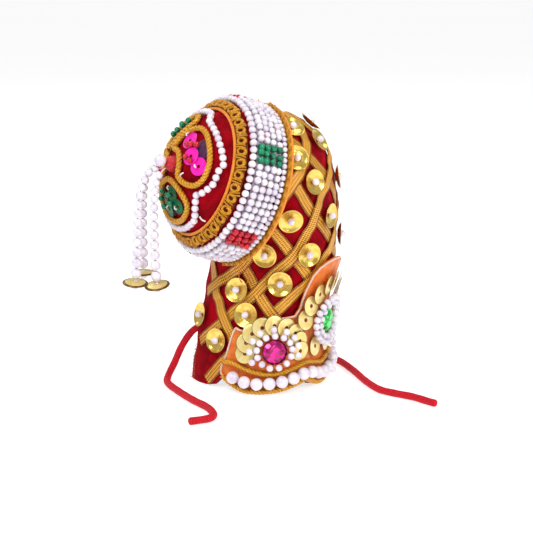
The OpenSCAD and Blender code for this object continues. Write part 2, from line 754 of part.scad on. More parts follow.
// String of pearls that runs round outside the petals: turn from the top, degrees from the middle
STRING_PATH = [
    [0, 45.8], [6, 45.5], [21, 39.5], [34, 40], [55, 42], [78, 46], [84, 43.5], [100, 42], [114, 37],
    [121, 34], [133, 38.5], [145, 44.5], [164, 46.5], [200, 47], [215, 46], [228, 42], [238, 40],
    [250, 44], [262, 44.5], [275, 43.5], [285, 40], [292, 38.5], [300, 42], [315, 46.5], [335, 46.5],
    [360, 45.8]
];
string_count = 54;
module face_pearl_string() {
    turns = [for (i = [0:string_count - 1]) i * 360 / string_count];
    color("white") bun_frame()
        tube(
            [for (t = turns) on_face(lookup(t, STRING_PATH), t, pearl_d / 2 + 0.2)],
            [for (t = turns) face_normal(lookup(t, STRING_PATH), t)],
            pearl_d / 2, 6, true
        );
}

// Knot of red floss with the pearl on it
tuft_r = 3.4;
tuft_h = 4.1;
module tuft() {
    color("red") bun_frame() translate([0, 0, face_rise + gap])
        rotate_extrude()
            intersection() {
                union() {
                    square([tuft_r, tuft_h - tuft_r / 2]);
                    translate([0, tuft_h - tuft_r]) circle(tuft_r);
                }
                square([tuft_r, tuft_h]);
            }
}
tuft_pearl_z = face_rise + tuft_h + 2 * gap + centre_pearl_d / 2;
module tuft_pearl() {
    color("white") bun_frame() translate([0, 0, tuft_pearl_z]) sphere(d = centre_pearl_d);
}

// Tassel: points that each strand's thread runs through, from the tuft down
STRANDS = [
    [[-37.6, 25, 90.6], [-40.3, 28, 89.8], [-43, 30, 86.4], [-44.8, 31.4, 80], [-45.3, 32, 72],
        [-45.5, 32.4, 62], [-45.6, 32.8, 52], [-46, 33.6, 44], [-46.2, 34, 38]],
    [[-36.5, 25.7, 91.6], [-37.7, 29.4, 90.4], [-37.9, 32, 87], [-37.4, 33.8, 80], [-37, 34.5, 72],
        [-36.8, 34.8, 62], [-36.7, 34.9, 52], [-36.7, 34.9, 38]],
    [[-38.9, 23.1, 90.7], [-41.2, 24.2, 88.6], [-42.8, 25.2, 84.6], [-43.5, 25.7, 78], [-43.6, 25.8, 70],
        [-43.5, 25.8, 60], [-43.3, 25.5, 50], [-43, 25, 42], [-42.9, 24.8, 38]]
];
// Each strand: beads, place of the first, tilt of its sequin, and which way the low side points
STRAND_ENDS = [[13, 3, 11, 110], [12, 4.2, 4, 0], [12, 4, 13, 290]];
BEADS = 0;
FIRST = 1;
TILT = 2;
TURN = 3;
bead_space = 0.12;
end_cup_rise = 0.8;
end_cup_eye_r = 0.7;
function strand_d(k, i) = strand_top_d + (strand_end_d - strand_top_d) * i / (STRAND_ENDS[k][BEADS] - 1);
function bead_at(k, i) =
    i == 0 ? STRAND_ENDS[k][FIRST]
        : bead_at(k, i - 1) + (strand_d(k, i - 1) + strand_d(k, i)) / 2 + bead_space;
function sequin_at(k) = bead_at(k, STRAND_ENDS[k][BEADS] - 1) + strand_end_d / 2 + 0.8;
function end_pearl_at(k) = sequin_at(k) + cup_t + 0.6 + pearl_d / 2;
// The place a given length down a strand, and the way the strand runs there
function lengths(pts) =
    let (last = len(pts) - 1)
    [for (i = 0, s = 0; i <= last; s = s + (i < last ? norm(pts[i + 1] - pts[i]) : 0), i = i + 1) s];
function strand_place(pts, at) =
    let (s = lengths(pts), i = max([for (k = [0:len(pts) - 2]) if (s[k] <= at) k]))
        [pts[i] + (at - s[i]) * unit(pts[i + 1] - pts[i]), unit(pts[i + 1] - pts[i])];
module at_strand(k, at) {
    q = strand_place(curve(STRANDS[k], 4), at);
    face_to(q[0], q[1]) children();
}
bore_d = 1.2;
thread_d = 0.5;
module tassel_strand(k) {
    color("white")
        for (i = [0:STRAND_ENDS[k][BEADS] - 1])
            at_strand(k, bead_at(k, i))
                difference() {
                    sphere(d = strand_d(k, i));
                    cylinder(h = 2 * strand_d(k, i), d = bore_d, center = true);
                }
}
module tassel_strand_1() {
    tassel_strand(0);
}
module tassel_strand_2() {
    tassel_strand(1);
}
module tassel_strand_3() {
    tassel_strand(2);
}
module tassel_thread(k) {
    fine = curve(STRANDS[k], 4);
    s = lengths(fine);
    end = end_pearl_at(k);
    used = concat([for (i = [0:len(fine) - 1]) if (s[i] < end - 1) fine[i]], [strand_place(fine, end)[0]]);
    color("white") tube(used, [for (p = used) [0, 1, 0]], thread_d / 2, 5);
}
module tassel_thread_1() {
    tassel_thread(0);
}
module tassel_thread_2() {
    tassel_thread(1);
}
module tassel_thread_3() {
    tassel_thread(2);
}
module tassel_sequins() {
    color("gold")
        for (k = [0:2])
            at_strand(k, sequin_at(k)) rotate(STRAND_ENDS[k][TURN]) rotate([0, -STRAND_ENDS[k][TILT], 0])
                cup(end_cup_eye_r, end_cup_rise);
}
module tassel_end_pearls() {
    color("white")
        for (k = [0:2])
            at_strand(k, end_pearl_at(k))
                difference() {
                    sphere(d = pearl_d);
                    cylinder(h = 10, d = bore_d, center = true);
                }
}

// Tie cords: from the inner edge of the open back down to the table and along it
TIE_RIGHT = [
    [-12.5, 16.5, 22.6], [-12.5, 21, 22.2], [-14.2, 25, 19.8], [-17.2, 28.2, 14.2], [-20.4, 30.4, 7],
    [-24, 31.4, 2.2],
    [-31, 27.6, 1.6], [-39.5, 18, 1.6], [-47.4, 7.5, 1.6], [-52.4, -0.5, 1.6], [-57, -5.6, 1.6],
    [-61.5, -8.6, 1.6], [-66, -8.4, 1.6], [-72, -3.4, 1.6]
];
TIE_LEFT = [
    [12.4, 18, 22.6], [12.4, 22.6, 22.2], [14.8, 26.8, 19.6], [19.6, 29.6, 12.4], [25.6, 30.4, 5],
    [31, 28.6, 1.9], [36.4, 22, 1.6],
    [38.6, 12, 1.6], [38.6, 0, 1.6], [36, -12, 1.6], [29, -23, 1.6], [18, -33.6, 1.6], [6, -43.6, 1.6],
    [-3, -53, 1.6], [-5.6, -61, 1.6], [-7, -68.6, 1.6], [-10.4, -76.6, 1.6], [-11.6, -80, 1.6]
];
module tie(route) {
    fine = curve(route, 2);
    color("firebrick") tube(fine, [for (p = fine) [0.02, 0.03, 1]], tie_d / 2, 8);
}
module tie_right() {
    tie(TIE_RIGHT);
}
module tie_left() {
    tie(TIE_LEFT);
}

cap();
ribbons_rising_right();
ribbons_rising_left();
cap_sequins();
cap_sequin_pearls();
tiara_band();
tiara_cord_upper();
tiara_cord_lower();
tiara_large_pearls();
fan_sequins_right();
fan_sequins_centre();
fan_sequins_left();
pearl_ring_right();
pearl_ring_centre();
pearl_ring_left();
pink_stone_right();
green_stone();
pink_stone_left();
bun();
bun_face_braid();
bun_back_braid();
garland_front_row();
garland_back_row();
garland_pearls();
garland_green_beads();
garland_red_beads();
petal_cords();
pink_paillettes();
green_paillettes();
face_pearl_string();
tuft();
tuft_pearl();
tassel_strand_1();
tassel_strand_2();
tassel_strand_3();
tassel_thread_1();
tassel_thread_2();
tassel_thread_3();
tassel_sequins();
tassel_end_pearls();
tie_right();
tie_left();
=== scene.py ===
# Deity crown: a velvet cap under gold ribbon and cupped sequins, with a beaded tiara in front,
# a pearl-ringed hair bun at the back right, a bead tassel and two red ties.
import math
import random
import bpy
import numpy as np
from mathutils import Matrix, Vector
from mathutils.bvhtree import BVHTree
from mathutils.kdtree import KDTree


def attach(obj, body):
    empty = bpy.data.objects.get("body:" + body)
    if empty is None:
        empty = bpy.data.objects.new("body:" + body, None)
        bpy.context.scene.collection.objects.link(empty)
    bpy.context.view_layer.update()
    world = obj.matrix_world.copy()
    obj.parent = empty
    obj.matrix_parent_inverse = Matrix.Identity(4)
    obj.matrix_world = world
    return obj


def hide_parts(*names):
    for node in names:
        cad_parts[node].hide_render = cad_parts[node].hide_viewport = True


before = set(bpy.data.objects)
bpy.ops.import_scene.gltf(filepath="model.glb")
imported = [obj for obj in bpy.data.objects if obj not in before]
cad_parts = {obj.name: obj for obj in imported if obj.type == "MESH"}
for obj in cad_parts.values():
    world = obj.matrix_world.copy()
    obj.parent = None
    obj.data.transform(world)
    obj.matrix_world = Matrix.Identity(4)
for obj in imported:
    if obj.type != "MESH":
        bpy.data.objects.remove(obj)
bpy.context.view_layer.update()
MM = 0.001

# Camera, floor and light
# The crown is looked at from its right side, a little from above, through a long lens.
# The floor is a wide pale table under soft boxes, as in a shop's photo tent.
CAMERA_AZIMUTH, CAMERA_ELEVATION = -65, 12
AIM, CAMERA_DISTANCE = Vector((0.76, -1.63, 46.4)) * MM, 0.607
LAMPS_AIM = Vector((0, 0, 0.05))
# Azimuth, elevation, distance, size and power of each soft box
SOFT_BOXES = [
    (-105, 50, 0.9, 0.42, 3.9), (-20, 30, 1.0, 0.3, 3.8), (70, 60, 1.1, 0.5, 2.2), (165, 35, 1.1, 0.5, 1.8),
]


def way_out(azimuth, elevation):
    # The direction from the crown to the camera or a lamp, out of its angles in degrees
    a, e = math.radians(azimuth), math.radians(elevation)
    return Vector((math.sin(a) * math.cos(e), -math.cos(a) * math.cos(e), math.sin(e)))


back = way_out(CAMERA_AZIMUTH, CAMERA_ELEVATION)
bpy.ops.object.camera_add(location=AIM + back * CAMERA_DISTANCE)
camera = bpy.context.object
camera.rotation_euler = back.to_track_quat("Z", "Y").to_euler()
camera.data.lens = 100
camera.data.sensor_width = 36
camera.data.clip_start = 0.01
bpy.context.scene.camera = camera
bpy.context.scene.view_settings.view_transform = "Standard"


def fill_inputs(node, values):
    # Sets a node's sockets by name, an underscore standing for a space
    for key, value in values.items():
        node.inputs[key.replace("_", " ")].default_value = value


def new_material(name, **values):
    # A principled material with the given sockets set; returns it and its node tree
    m = bpy.data.materials.new(name)
    m.use_nodes = True
    fill_inputs(m.node_tree.nodes["Principled BSDF"], values)
    return m, m.node_tree


def coords_of(tree, by="Object"):
    # The place on a piece: its own coordinates, or its UV map
    if by == "UV":
        return tree.nodes.new("ShaderNodeUVMap").outputs["UV"]
    return tree.nodes.new("ShaderNodeTexCoord").outputs["Object"]


def noise(tree, scale, detail=2, distortion=0, by="Object"):
    made = tree.nodes.new("ShaderNodeTexNoise")
    fill_inputs(made, {"Scale": scale, "Detail": detail, "Distortion": distortion})
    tree.links.new(coords_of(tree, by), made.inputs["Vector"])
    return made.outputs["Fac"]


def shades(tree, factor, *stops):
    # The colour for a factor, out of two or more stops, each a place and a colour
    ramp = tree.nodes.new("ShaderNodeValToRGB")
    elements = ramp.color_ramp.elements
    for element, (at, colour) in zip(elements, (stops[0], stops[-1])):
        element.color = (*colour, 1)
        element.position = at
    for at, colour in stops[1:-1]:
        elements.new(at).color = (*colour, 1)
    tree.links.new(factor, ramp.inputs["Fac"])
    return ramp.outputs["Color"]


def paint(tree, colour):
    tree.links.new(colour, tree.nodes["Principled BSDF"].inputs["Base Color"])


def bump(tree, height, depth, strength=1):
    # Relief as deep as depth in mm
    made = tree.nodes.new("ShaderNodeBump")
    fill_inputs(made, {"Distance": depth * MM, "Strength": strength})
    tree.links.new(height, made.inputs["Height"])
    tree.links.new(made.outputs["Normal"], tree.nodes["Principled BSDF"].inputs["Normal"])


def mottled(name, scale, low, high, start=0, end=1, detail=2, depth=0, **values):
    # A material whose colour and relief run in patches
    m, tree = new_material(name, **values)
    patches = noise(tree, scale, detail)
    paint(tree, shades(tree, patches, (start, low), (end, high)))
    if depth:
        bump(tree, patches, depth)
    return m


def dress(piece, *materials):
    piece.data.materials.clear()
    for m in materials:
        piece.data.materials.append(m)


def primitive(add, **values):
    # A new mesh by one of the operators that add one, alone selected
    bpy.ops.object.select_all(action="DESELECT")
    add(**values)
    return bpy.context.object


floor = primitive(bpy.ops.mesh.primitive_circle_add, vertices=96, radius=14, fill_type="NGON")
floor.name = "floor"
pale = mottled(
    "pale table", 3, (0.52, 0.52, 0.525), (0.56, 0.56, 0.56),
    Roughness=0.6, Emission_Color=(1, 1, 1, 1), Emission_Strength=0.7,
)
dress(floor, pale)

world = bpy.data.worlds.new("soft room")
bpy.context.scene.world = world
world.use_nodes = True
fill_inputs(world.node_tree.nodes["Background"], {"Color": (1, 1, 1, 1), "Strength": 0.42})
for azimuth, elevation, distance, size, power in SOFT_BOXES:
    toward = way_out(azimuth, elevation)
    bpy.ops.object.light_add(type="AREA", location=LAMPS_AIM + toward * distance)
    lamp = bpy.context.object
    lamp.rotation_euler = toward.to_track_quat("Z", "Y").to_euler()
    lamp.data.size = size
    lamp.data.energy = power

# Tie cords
# Two cotton cords wrapped with red floss come out of the open back and lie on the table,
# as long as they are in view. Each is sewn to the edge of the opening and cut off plain.
TIE_D = 3
TIE_ROUTES = {
    "tie_right": [
        (-12.5, 16.5, 22.6), (-12.5, 21, 22.2), (-14.2, 25, 19.8), (-17.2, 28.2, 14.2), (-20.4, 30.4, 7),
        (-24, 31.4, 2.2), (-31, 27.6, 1.6), (-39.5, 18, 1.6), (-47.4, 7.5, 1.6), (-52.4, -0.5, 1.6),
        (-57, -5.6, 1.6), (-61.5, -8.6, 1.6), (-66, -8.4, 1.6), (-72, -3.4, 1.6),
    ],
    "tie_left": [
        (12.4, 18, 22.6), (12.4, 22.6, 22.2), (14.8, 26.8, 19.6), (19.6, 29.6, 12.4), (25.6, 30.4, 5),
        (31, 28.6, 1.9), (36.4, 22, 1.6), (38.6, 12, 1.6), (38.6, 0, 1.6), (36, -12, 1.6), (29, -23, 1.6),
        (18, -33.6, 1.6), (6, -43.6, 1.6), (-3, -53, 1.6), (-5.6, -61, 1.6), (-7, -68.6, 1.6),
        (-10.4, -76.6, 1.6), (-11.6, -80, 1.6),
    ],
}


def smooth_line(points, steps, closed=False):
    # A smooth curve through given points
    p = np.array(points, float)
    n = len(p)
    out = []
    for i in range(n if closed else n - 1):
        if closed:
            a, b, c, d = p[i - 1], p[i], p[(i + 1) % n], p[(i + 2) % n]
        else:
            a, b, c, d = p[max(i - 1, 0)], p[i], p[i + 1], p[min(i + 2, n - 1)]
        for k in range(steps):
            t = k / steps
            out.append(0.5 * (
                2 * b + t * (c - a) + t * t * (2 * a - 5 * b + 4 * c - d) + t ** 3 * (3 * b - a - 3 * c + d)
            ))
    if not closed:
        out.append(p[-1])
    return np.array(out)


def runs(line):
    # How far along a line each of its points lies
    return np.concatenate([[0], np.cumsum(np.linalg.norm(np.diff(line, axis=0), axis=1))])


def even(line, step, closed=False):
    # The same line with its points a given length apart
    p = np.vstack([line, line[:1]]) if closed else line
    run = runs(p)
    count = max(2, int(round(run[-1] / step)))
    at = np.linspace(0, run[-1], count + 1)
    if closed:
        at = at[:-1]
    return np.stack([np.interp(at, run, p[:, k]) for k in range(p.shape[1])], 1)


def unit(p):
    return p / (np.linalg.norm(p, axis=-1, keepdims=True) + 1e-12)


def activate(piece):
    bpy.ops.object.select_all(action="DESELECT")
    piece.select_set(True)
    bpy.context.view_layer.objects.active = piece


def new_piece(name, points, faces, uv=None, edges=()):
    # A piece out of points in mm, alone selected; uv runs corner by corner
    mesh = bpy.data.meshes.new(name)
    mesh.from_pydata((np.reshape(points, (-1, 3)) * MM).tolist(), edges, faces)
    if uv:
        mesh.uv_layers.new(name="UVMap").data.foreach_set("uv", uv)
    piece = bpy.data.objects.new(name, mesh)
    bpy.context.collection.objects.link(piece)
    activate(piece)
    return piece


def outwards(weld=False):
    # Turns the active piece's faces outwards, its doubled points merged first where it has them
    bpy.ops.object.mode_set(mode="EDIT")
    bpy.ops.mesh.select_all(action="SELECT")
    if weld:
        bpy.ops.mesh.remove_doubles(threshold=0.01 * MM)
    bpy.ops.mesh.normals_make_consistent(inside=False)
    bpy.ops.object.mode_set(mode="OBJECT")


def cord(name, line, radius, sides, relief=None, ups=None, closed=False):
    # A round cord along a line in mm; relief(turn, length) is its radius as a share, and UV is turn and mm
    n = len(line)
    if closed:
        ahead = unit(np.roll(line, -1, 0) - np.roll(line, 1, 0))
    else:
        ahead = unit(np.gradient(line, axis=0))
    if ups is None:
        side = np.zeros_like(line)
        start = np.cross(ahead[0], [0.1, 0.2, 1])
        side[0] = start / np.linalg.norm(start)
        for i in range(1, n):
            s = side[i - 1] - ahead[i] * (side[i - 1] @ ahead[i])
            side[i] = s / np.linalg.norm(s)
    else:
        side = unit(np.cross(ups, ahead))
    up = np.cross(ahead, side)
    run = runs(line)
    turn = np.arange(sides) * 2 * math.pi / sides
    r = np.full((n, sides), float(radius))
    if relief:
        r = r * relief(turn[None, :], run[:, None])
    rings = line[:, None] + r[..., None] * (
        np.cos(turn)[None, :, None] * side[:, None] + np.sin(turn)[None, :, None] * up[:, None]
    )
    faces, uv = [], []
    for i in range(n if closed else n - 1):
        j = (i + 1) % n
        v0, v1 = run[i], run[i + 1] if i + 1 < n else run[-1] + np.linalg.norm(line[0] - line[-1])
        for k in range(sides):
            m = (k + 1) % sides
            faces.append((i * sides + k, j * sides + k, j * sides + m, i * sides + m))
            u0, u1 = k / sides, (k + 1) / sides
            uv += [u0, v0, u0, v1, u1, v1, u1, v0]
    if not closed:
        faces.append(tuple(range(sides)))
        uv += [0.5, 0] * sides
        faces.append(tuple((n - 1) * sides + k for k in reversed(range(sides))))
        uv += [0.5, run[-1]] * sides
    piece = new_piece(name, rings, faces, uv)
    outwards()
    bpy.ops.object.shade_smooth_by_angle(angle=math.radians(60))
    return piece


def node_group(name, inputs, outputs):
    # A group of shader nodes whose sockets are numbers, and its sockets as seen from inside
    tree = bpy.data.node_groups.new(name, "ShaderNodeTree")
    for names, way in ((inputs, "INPUT"), (outputs, "OUTPUT")):
        for socket in names:
            tree.interface.new_socket(socket, in_out=way, socket_type="NodeSocketFloat")
    return tree, tree.nodes.new("NodeGroupInput").outputs, tree.nodes.new("NodeGroupOutput").inputs


def grouped(tree, group, **values):
    node = tree.nodes.new("ShaderNodeGroup")
    node.node_tree = group
    fill_inputs(node, values)
    return node.outputs


def maths(tree, kind, *values):
    node = tree.nodes.new("ShaderNodeMath")
    node.operation = kind
    for i, value in enumerate(values):
        if isinstance(value, (int, float)):
            node.inputs[i].default_value = value
        else:
            tree.links.new(value, node.inputs[i])
    return node.outputs[0]


def uv_apart(tree):
    # The two numbers of the UV map
    apart = tree.nodes.new("ShaderNodeSeparateXYZ")
    tree.links.new(coords_of(tree, "UV"), apart.inputs[0])
    return apart.outputs["X"], apart.outputs["Y"]


# Threads that run round a cord: bands of height and of painted light and shade out of its own turn and
# length, darker between the threads and lighter on them
wound, given, result = node_group("wound threads", ("Pitch", "Starts", "Plies", "Lay"), ("Height", "Shade"))
turn_at, run_at = uv_apart(wound)
along = maths(wound, "DIVIDE", run_at, given["Pitch"])
around = maths(wound, "MULTIPLY", turn_at, given["Starts"])
wander = maths(wound, "MULTIPLY", noise(wound, 0.9, by="UV"), 1.3)
phase = maths(wound, "ADD", maths(wound, "ADD", along, around), wander)
wave = maths(wound, "SINE", maths(wound, "MULTIPLY", phase, 2 * math.pi))
height = maths(wound, "MULTIPLY_ADD", wave, 0.5, 0.5)
wound.links.new(height, result["Height"])
patches = noise(wound, 2.4, 4, by="UV")
shade = maths(wound, "MULTIPLY", maths(wound, "POWER", height, 0.7), patches)
# The groove between two plies gets painted shade; with no plies there is none
lay = maths(wound, "SUBTRACT", turn_at, maths(wound, "DIVIDE", run_at, given["Lay"]))
lay = maths(wound, "MULTIPLY", maths(wound, "MULTIPLY", lay, given["Plies"]), math.pi)
groove = maths(wound, "POWER", maths(wound, "ABSOLUTE", maths(wound, "COSINE", lay)), 0.8)
shade = maths(wound, "MULTIPLY", maths(wound, "MULTIPLY_ADD", groove, 0.8, 0.2), shade)
wound.links.new(maths(wound, "MULTIPLY", shade, 2.7), result["Shade"])


# Colour from the threads' painted light and shade: dark in the low places and grooves, light on the crests
def wound_material(name, dark, light, pitch, starts, depth, plies=0, lay=1, **values):
    m, tree = new_material(name, **values)
    threads = grouped(tree, wound, Pitch=pitch, Starts=starts, Plies=plies, Lay=lay)
    paint(tree, shades(tree, threads["Shade"], (0.12, dark), (0.7, light)))
    bump(tree, threads["Height"], depth, 0.9)
    return m


def ready(piece, name, *materials):
    # Names a finished piece, gives it its materials and makes it part of the crown
    piece.name = name
    piece.data.name = name
    if materials:
        dress(piece, *materials)
    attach(piece, "root")
    return piece


tie_floss = wound_material(
    "red wound floss", (0.2, 0.0, 0.006), (0.75, 0.004, 0.02), 0.55, 1, 0.14, Roughness=0.62,
    Sheen_Weight=0.2, Sheen_Roughness=0.4, Sheen_Tint=(1, 0.1, 0.15, 1), Specular_IOR_Level=0.25,
)


def wrapped(turn, run):
    # Wrapping is a little uneven, and the cut end is pulled in
    end = np.clip((run.max() - run) / 1.1, 0, 1)
    close = np.sqrt(1 - (1 - end) ** 2) * 0.75 + 0.25
    return (0.965 + 0.02 * np.sin(run * 0.9 + 2 * turn) + 0.015 * np.sin(run * 11.4 + turn)) * close


for name, route in TIE_ROUTES.items():
    line = even(smooth_line(route, 12), 0.35)
    tie = cord(name + "_wrapped", line, TIE_D / 2, 20, wrapped)
    ready(tie, name + "_wrapped", tie_floss)
    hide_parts(name)

# Velvet cap
# A hood of red velvet over stiffener, lined with dark cotton, open below and up the back.
# The ribbons sewn over it pull the pile down, and the velvet swells between them.
CAP_WALL = 1.6
# Height, half width, reach to the front, reach to the back, and shift to the left
CAP_ROWS = np.array([
    [0, 24, 22.5, 30.5, 0], [12, 24, 22.3, 29, 0.3], [24, 23.5, 22, 27.5, 1.2], [36, 22.5, 23.6, 25.5, 3],
    [48, 21.8, 27, 23, 5], [60, 22.8, 28, 22.5, 4.6], [70, 24.5, 28.4, 24.5, 2.2],
    [78, 25.5, 28.6, 25.5, 0.5],
], float)
# Above the shoulder the cap is domed: its rise, where its crest lies, and mm of skin to a degree
SHOULDER, RISE, CREST_Y, PER_DEG = 78, 32.5, -3, 0.52
POLE = SHOULDER + 90 * PER_DEG
# The open back: height and half width up its edge, straight below and arched above
OPEN_EDGE = np.array([[-5, 14.3], [27, 14.3], [36, 10.6], [45, 6], [50, 2]])
RIM = np.array([
    [0, 0], [10, 0.6], [18, 2.2], [27, 3.8], [36, 2.7], [48, 1.2], [66, 0], [82, 0.6],
    [94, 3.4], [103, 6.5], [108, 4], [116, 1], [126, 0], [180, 0],
])
CREST = np.array([
    [0, 52], [12, 51.5], [20, 50], [26, 47], [30.5, 41], [33.5, 34], [38, 31], [50, 30.3],
    [62, 29.5], [70, 26.5], [76, 25], [86, 25.2], [90, 26], [93, 23.4], [98, 15], [103, 9.6],
])
slopes = np.zeros_like(CAP_ROWS)
for i in range(len(CAP_ROWS) - 1):
    low, high = CAP_ROWS[max(i - 1, 0)], CAP_ROWS[i + 1]
    slopes[i] = (high - low) / (high[0] - low[0])


def section(z, column):
    # Half width, reach or shift of the cap's cross section at a height
    z = np.clip(np.asarray(z, float), 0, SHOULDER)
    i = np.clip(np.searchsorted(CAP_ROWS[:, 0], z, side="right") - 1, 0, len(CAP_ROWS) - 2)
    h = CAP_ROWS[i + 1, 0] - CAP_ROWS[i, 0]
    t = (z - CAP_ROWS[i, 0]) / h
    return (
        (1 + 2 * t) * (1 - t) ** 2 * CAP_ROWS[i, column] + t * (1 - t) ** 2 * h * slopes[i, column]
        + t * t * (3 - 2 * t) * CAP_ROWS[i + 1, column] - t * t * (1 - t) * h * slopes[i + 1, column]
    )


def skin(a, v):
    # Place on the velvet: degrees from the front towards the wearer's right, and mm up its side
    a, v = np.broadcast_arrays(np.asarray(a, float), np.asarray(v, float))
    s, c = np.sin(np.radians(a)), np.cos(np.radians(a))
    z = np.minimum(v, SHOULDER)
    n = np.where(c >= 0, 2.4, 2.1)
    reach = np.where(c >= 0, section(z, 2), section(z, 3))
    k = ((np.abs(s) / section(z, 1)) ** n + (np.abs(c) / reach) ** n) ** (-1 / n)
    tip = np.radians(np.clip((v - SHOULDER) / PER_DEG, 0, 90))
    x = (section(z, 4) - k * s) * np.cos(tip)
    y = -k * c * np.cos(tip) + CREST_Y * (1 - np.cos(tip))
    return np.stack([x, y, z + RISE * np.sin(tip)], -1)


def skin_normal(a, v):
    a, v = np.asarray(a, float), np.minimum(np.asarray(v, float), POLE - 1.2)
    return unit(np.cross(skin(a, v + 0.3) - skin(a, v - 0.3), skin(a + 0.6, v) - skin(a - 0.6, v)))


def on_skin(a, v, lift=0.0):
    return skin(a, v) + np.asarray(lift)[..., None] * skin_normal(a, v)


def from_front(a):
    # Degrees away from the front, to either side
    return np.abs((np.asarray(a) + 180) % 360 - 180)


def rim_at(a):
    return np.interp(from_front(a), RIM[:, 0], RIM[:, 1])


def crest_at(a):
    return np.interp(from_front(a), CREST[:, 0], CREST[:, 1])


# Ribbon lines of the wearer's right side, the left side mirrors them
RISING = [
    [(124, 2), (101, 13), (78, 22), (55, 32), (43, 37), (31, 42), (20, 47.5), (8, 54), (-13, 66), (-25, 73),
     (-38, 83), (-54, 92), (-74, 98), (-96, 101)],
    [(146, 14), (110, 26.5), (93, 33), (76, 39), (60, 46.6), (43, 54.5), (28, 66), (17, 76), (3, 83),
     (-14, 90), (-28, 97), (-46, 104), (-76, 110), (-110, 112)],
    [(148, 34), (107, 45.5), (88, 51.5), (66, 66), (53, 76.5), (41, 84), (32, 89), (22, 96.5), (12.5, 105),
     (12, 112), (14, 117)],
    [(152, 60), (128, 66), (106, 76), (88, 88), (72, 100), (60, 112)],
    [(158, 80), (138, 88), (118, 98), (100, 110)],
]
FALLING = [
    [(160, 62), (146, 53.5), (131, 44), (112, 32), (93.5, 20.5), (84, 14)],
    [(150, 90), (134, 79), (118, 68), (104, 59), (90, 50), (75, 41), (59, 32), (48, 26)],
    [(130, 106), (111, 96), (92, 86), (75, 76), (58.5, 65.5), (44, 56), (30, 47.5), (20, 42)],
]


def mirror(lines):
    return [[(-a, v) for a, v in line] for line in lines]


def tree_of(points):
    # Points in a tree that finds the nearest one
    tree = KDTree(len(points))
    for i, p in enumerate(points):
        tree.insert(Vector(p), i)
    tree.balance()
    return tree


RIBBON_LINES = {
    "ribbons_rising_right": RISING + mirror(FALLING),
    "ribbons_rising_left": FALLING + mirror(RISING),
}
under_ribbons = tree_of([
    skin(a, v) for lines in RIBBON_LINES.values() for line in lines
    for a, v in even(smooth_line(line, 8), 1.2)
])


def face_out(sheet, away):
    # Turns a sheet over if its faces look the wrong way
    if sum(face.normal.dot(Vector(away(face.center))) * face.area for face in sheet.data.polygons) < 0:
        sheet.data.flip_normals()


def points_of(piece):
    co = np.empty(len(piece.data.vertices) * 3)
    piece.data.vertices.foreach_get("co", co)
    return co.reshape(-1, 3)


def place_points(piece, points):
    # Moves a piece's points to their places in mm
    piece.data.vertices.foreach_set("co", (np.asarray(points) * MM).ravel())


def cap_sheet(name, lift, columns, rows, swell=0.0):
    # The cap's skin: a flat grid wrapped round, closed down the middle of the back and at the crest
    sheet = primitive(bpy.ops.mesh.primitive_grid_add, x_subdivisions=columns, y_subdivisions=rows, size=1)
    sheet.name = name
    co = points_of(sheet)
    a = co[:, 0] * 360
    v = (co[:, 1] + 0.5) * POLE
    v = v + rim_at(a) * np.clip(1 - v / 24, 0, 1) if swell else v
    pile = np.full(len(a), float(lift))
    if swell:
        for i, p in enumerate(skin(a, v)):
            far = under_ribbons.find(Vector(p))[2]
            pile[i] += swell * (min(1, max(0, (far - 2.2) / 4)) ** 0.6 - 0.25)
        pile += 0.07 * np.sin(a * 0.31 + v * 0.23) * np.sin(v * 0.37 - a * 0.11)
        pile *= np.clip((POLE - v) / 8, 0, 1)
    points = on_skin(a, v, pile)
    points[v > POLE - 0.01] = [0, CREST_Y, SHOULDER + RISE + lift]
    place_points(sheet, points)
    outwards(weld=True)
    face_out(sheet, lambda p: (p.x, p.y, 0))
    return sheet


def apply_modifier(piece, kind, **values):
    activate(piece)
    mod = piece.modifiers.new(kind.title(), kind)
    for key, value in values.items():
        setattr(mod, key, value)
    bpy.ops.object.modifier_apply(modifier=mod.name)


def grow(times, **move):
    # Extrudes the active piece's edges or face a number of times
    bpy.ops.object.mode_set(mode="EDIT")
    bpy.ops.mesh.select_all(action="SELECT")
    for _ in range(times):
        bpy.ops.mesh.extrude_region_move(**move)
    bpy.ops.object.mode_set(mode="OBJECT")


# Velvet pile: deep red, brushed in patches, bright where it turns away
velvet, tree = new_material(
    "red velvet", Roughness=0.85, Sheen_Weight=0.5, Sheen_Roughness=0.3, Sheen_Tint=(1, 0.03, 0.06, 1),
    Specular_IOR_Level=0.08,
)
pile = noise(tree, 2600)
brushed = maths(tree, "MULTIPLY_ADD", pile, 0.35, noise(tree, 130, 3, 0.8))
paint(tree, shades(tree, brushed, (0.4, (0.07, 0.0, 0.002)), (0.9, (0.45, 0.0, 0.008))))
bump(tree, pile, 0.12, 0.7)

# Cotton lining: plain weave of fine threads
lining, tree = new_material("dark cotton lining", Roughness=0.9, Specular_IOR_Level=0.2)
threads = []
for way, scale, distortion in (("Z", 520, 2), ("DIAGONAL", 430, 0)):
    bands = tree.nodes.new("ShaderNodeTexWave")
    bands.bands_direction = way
    fill_inputs(bands, {"Scale": scale, "Distortion": distortion})
    tree.links.new(coords_of(tree), bands.inputs["Vector"])
    threads.append(bands.outputs["Fac"])
weave = maths(tree, "MULTIPLY", *threads)
paint(tree, shades(tree, weave, (0, (0.05, 0.003, 0.006)), (1, (0.09, 0.005, 0.012))))
bump(tree, weave, 0.08)

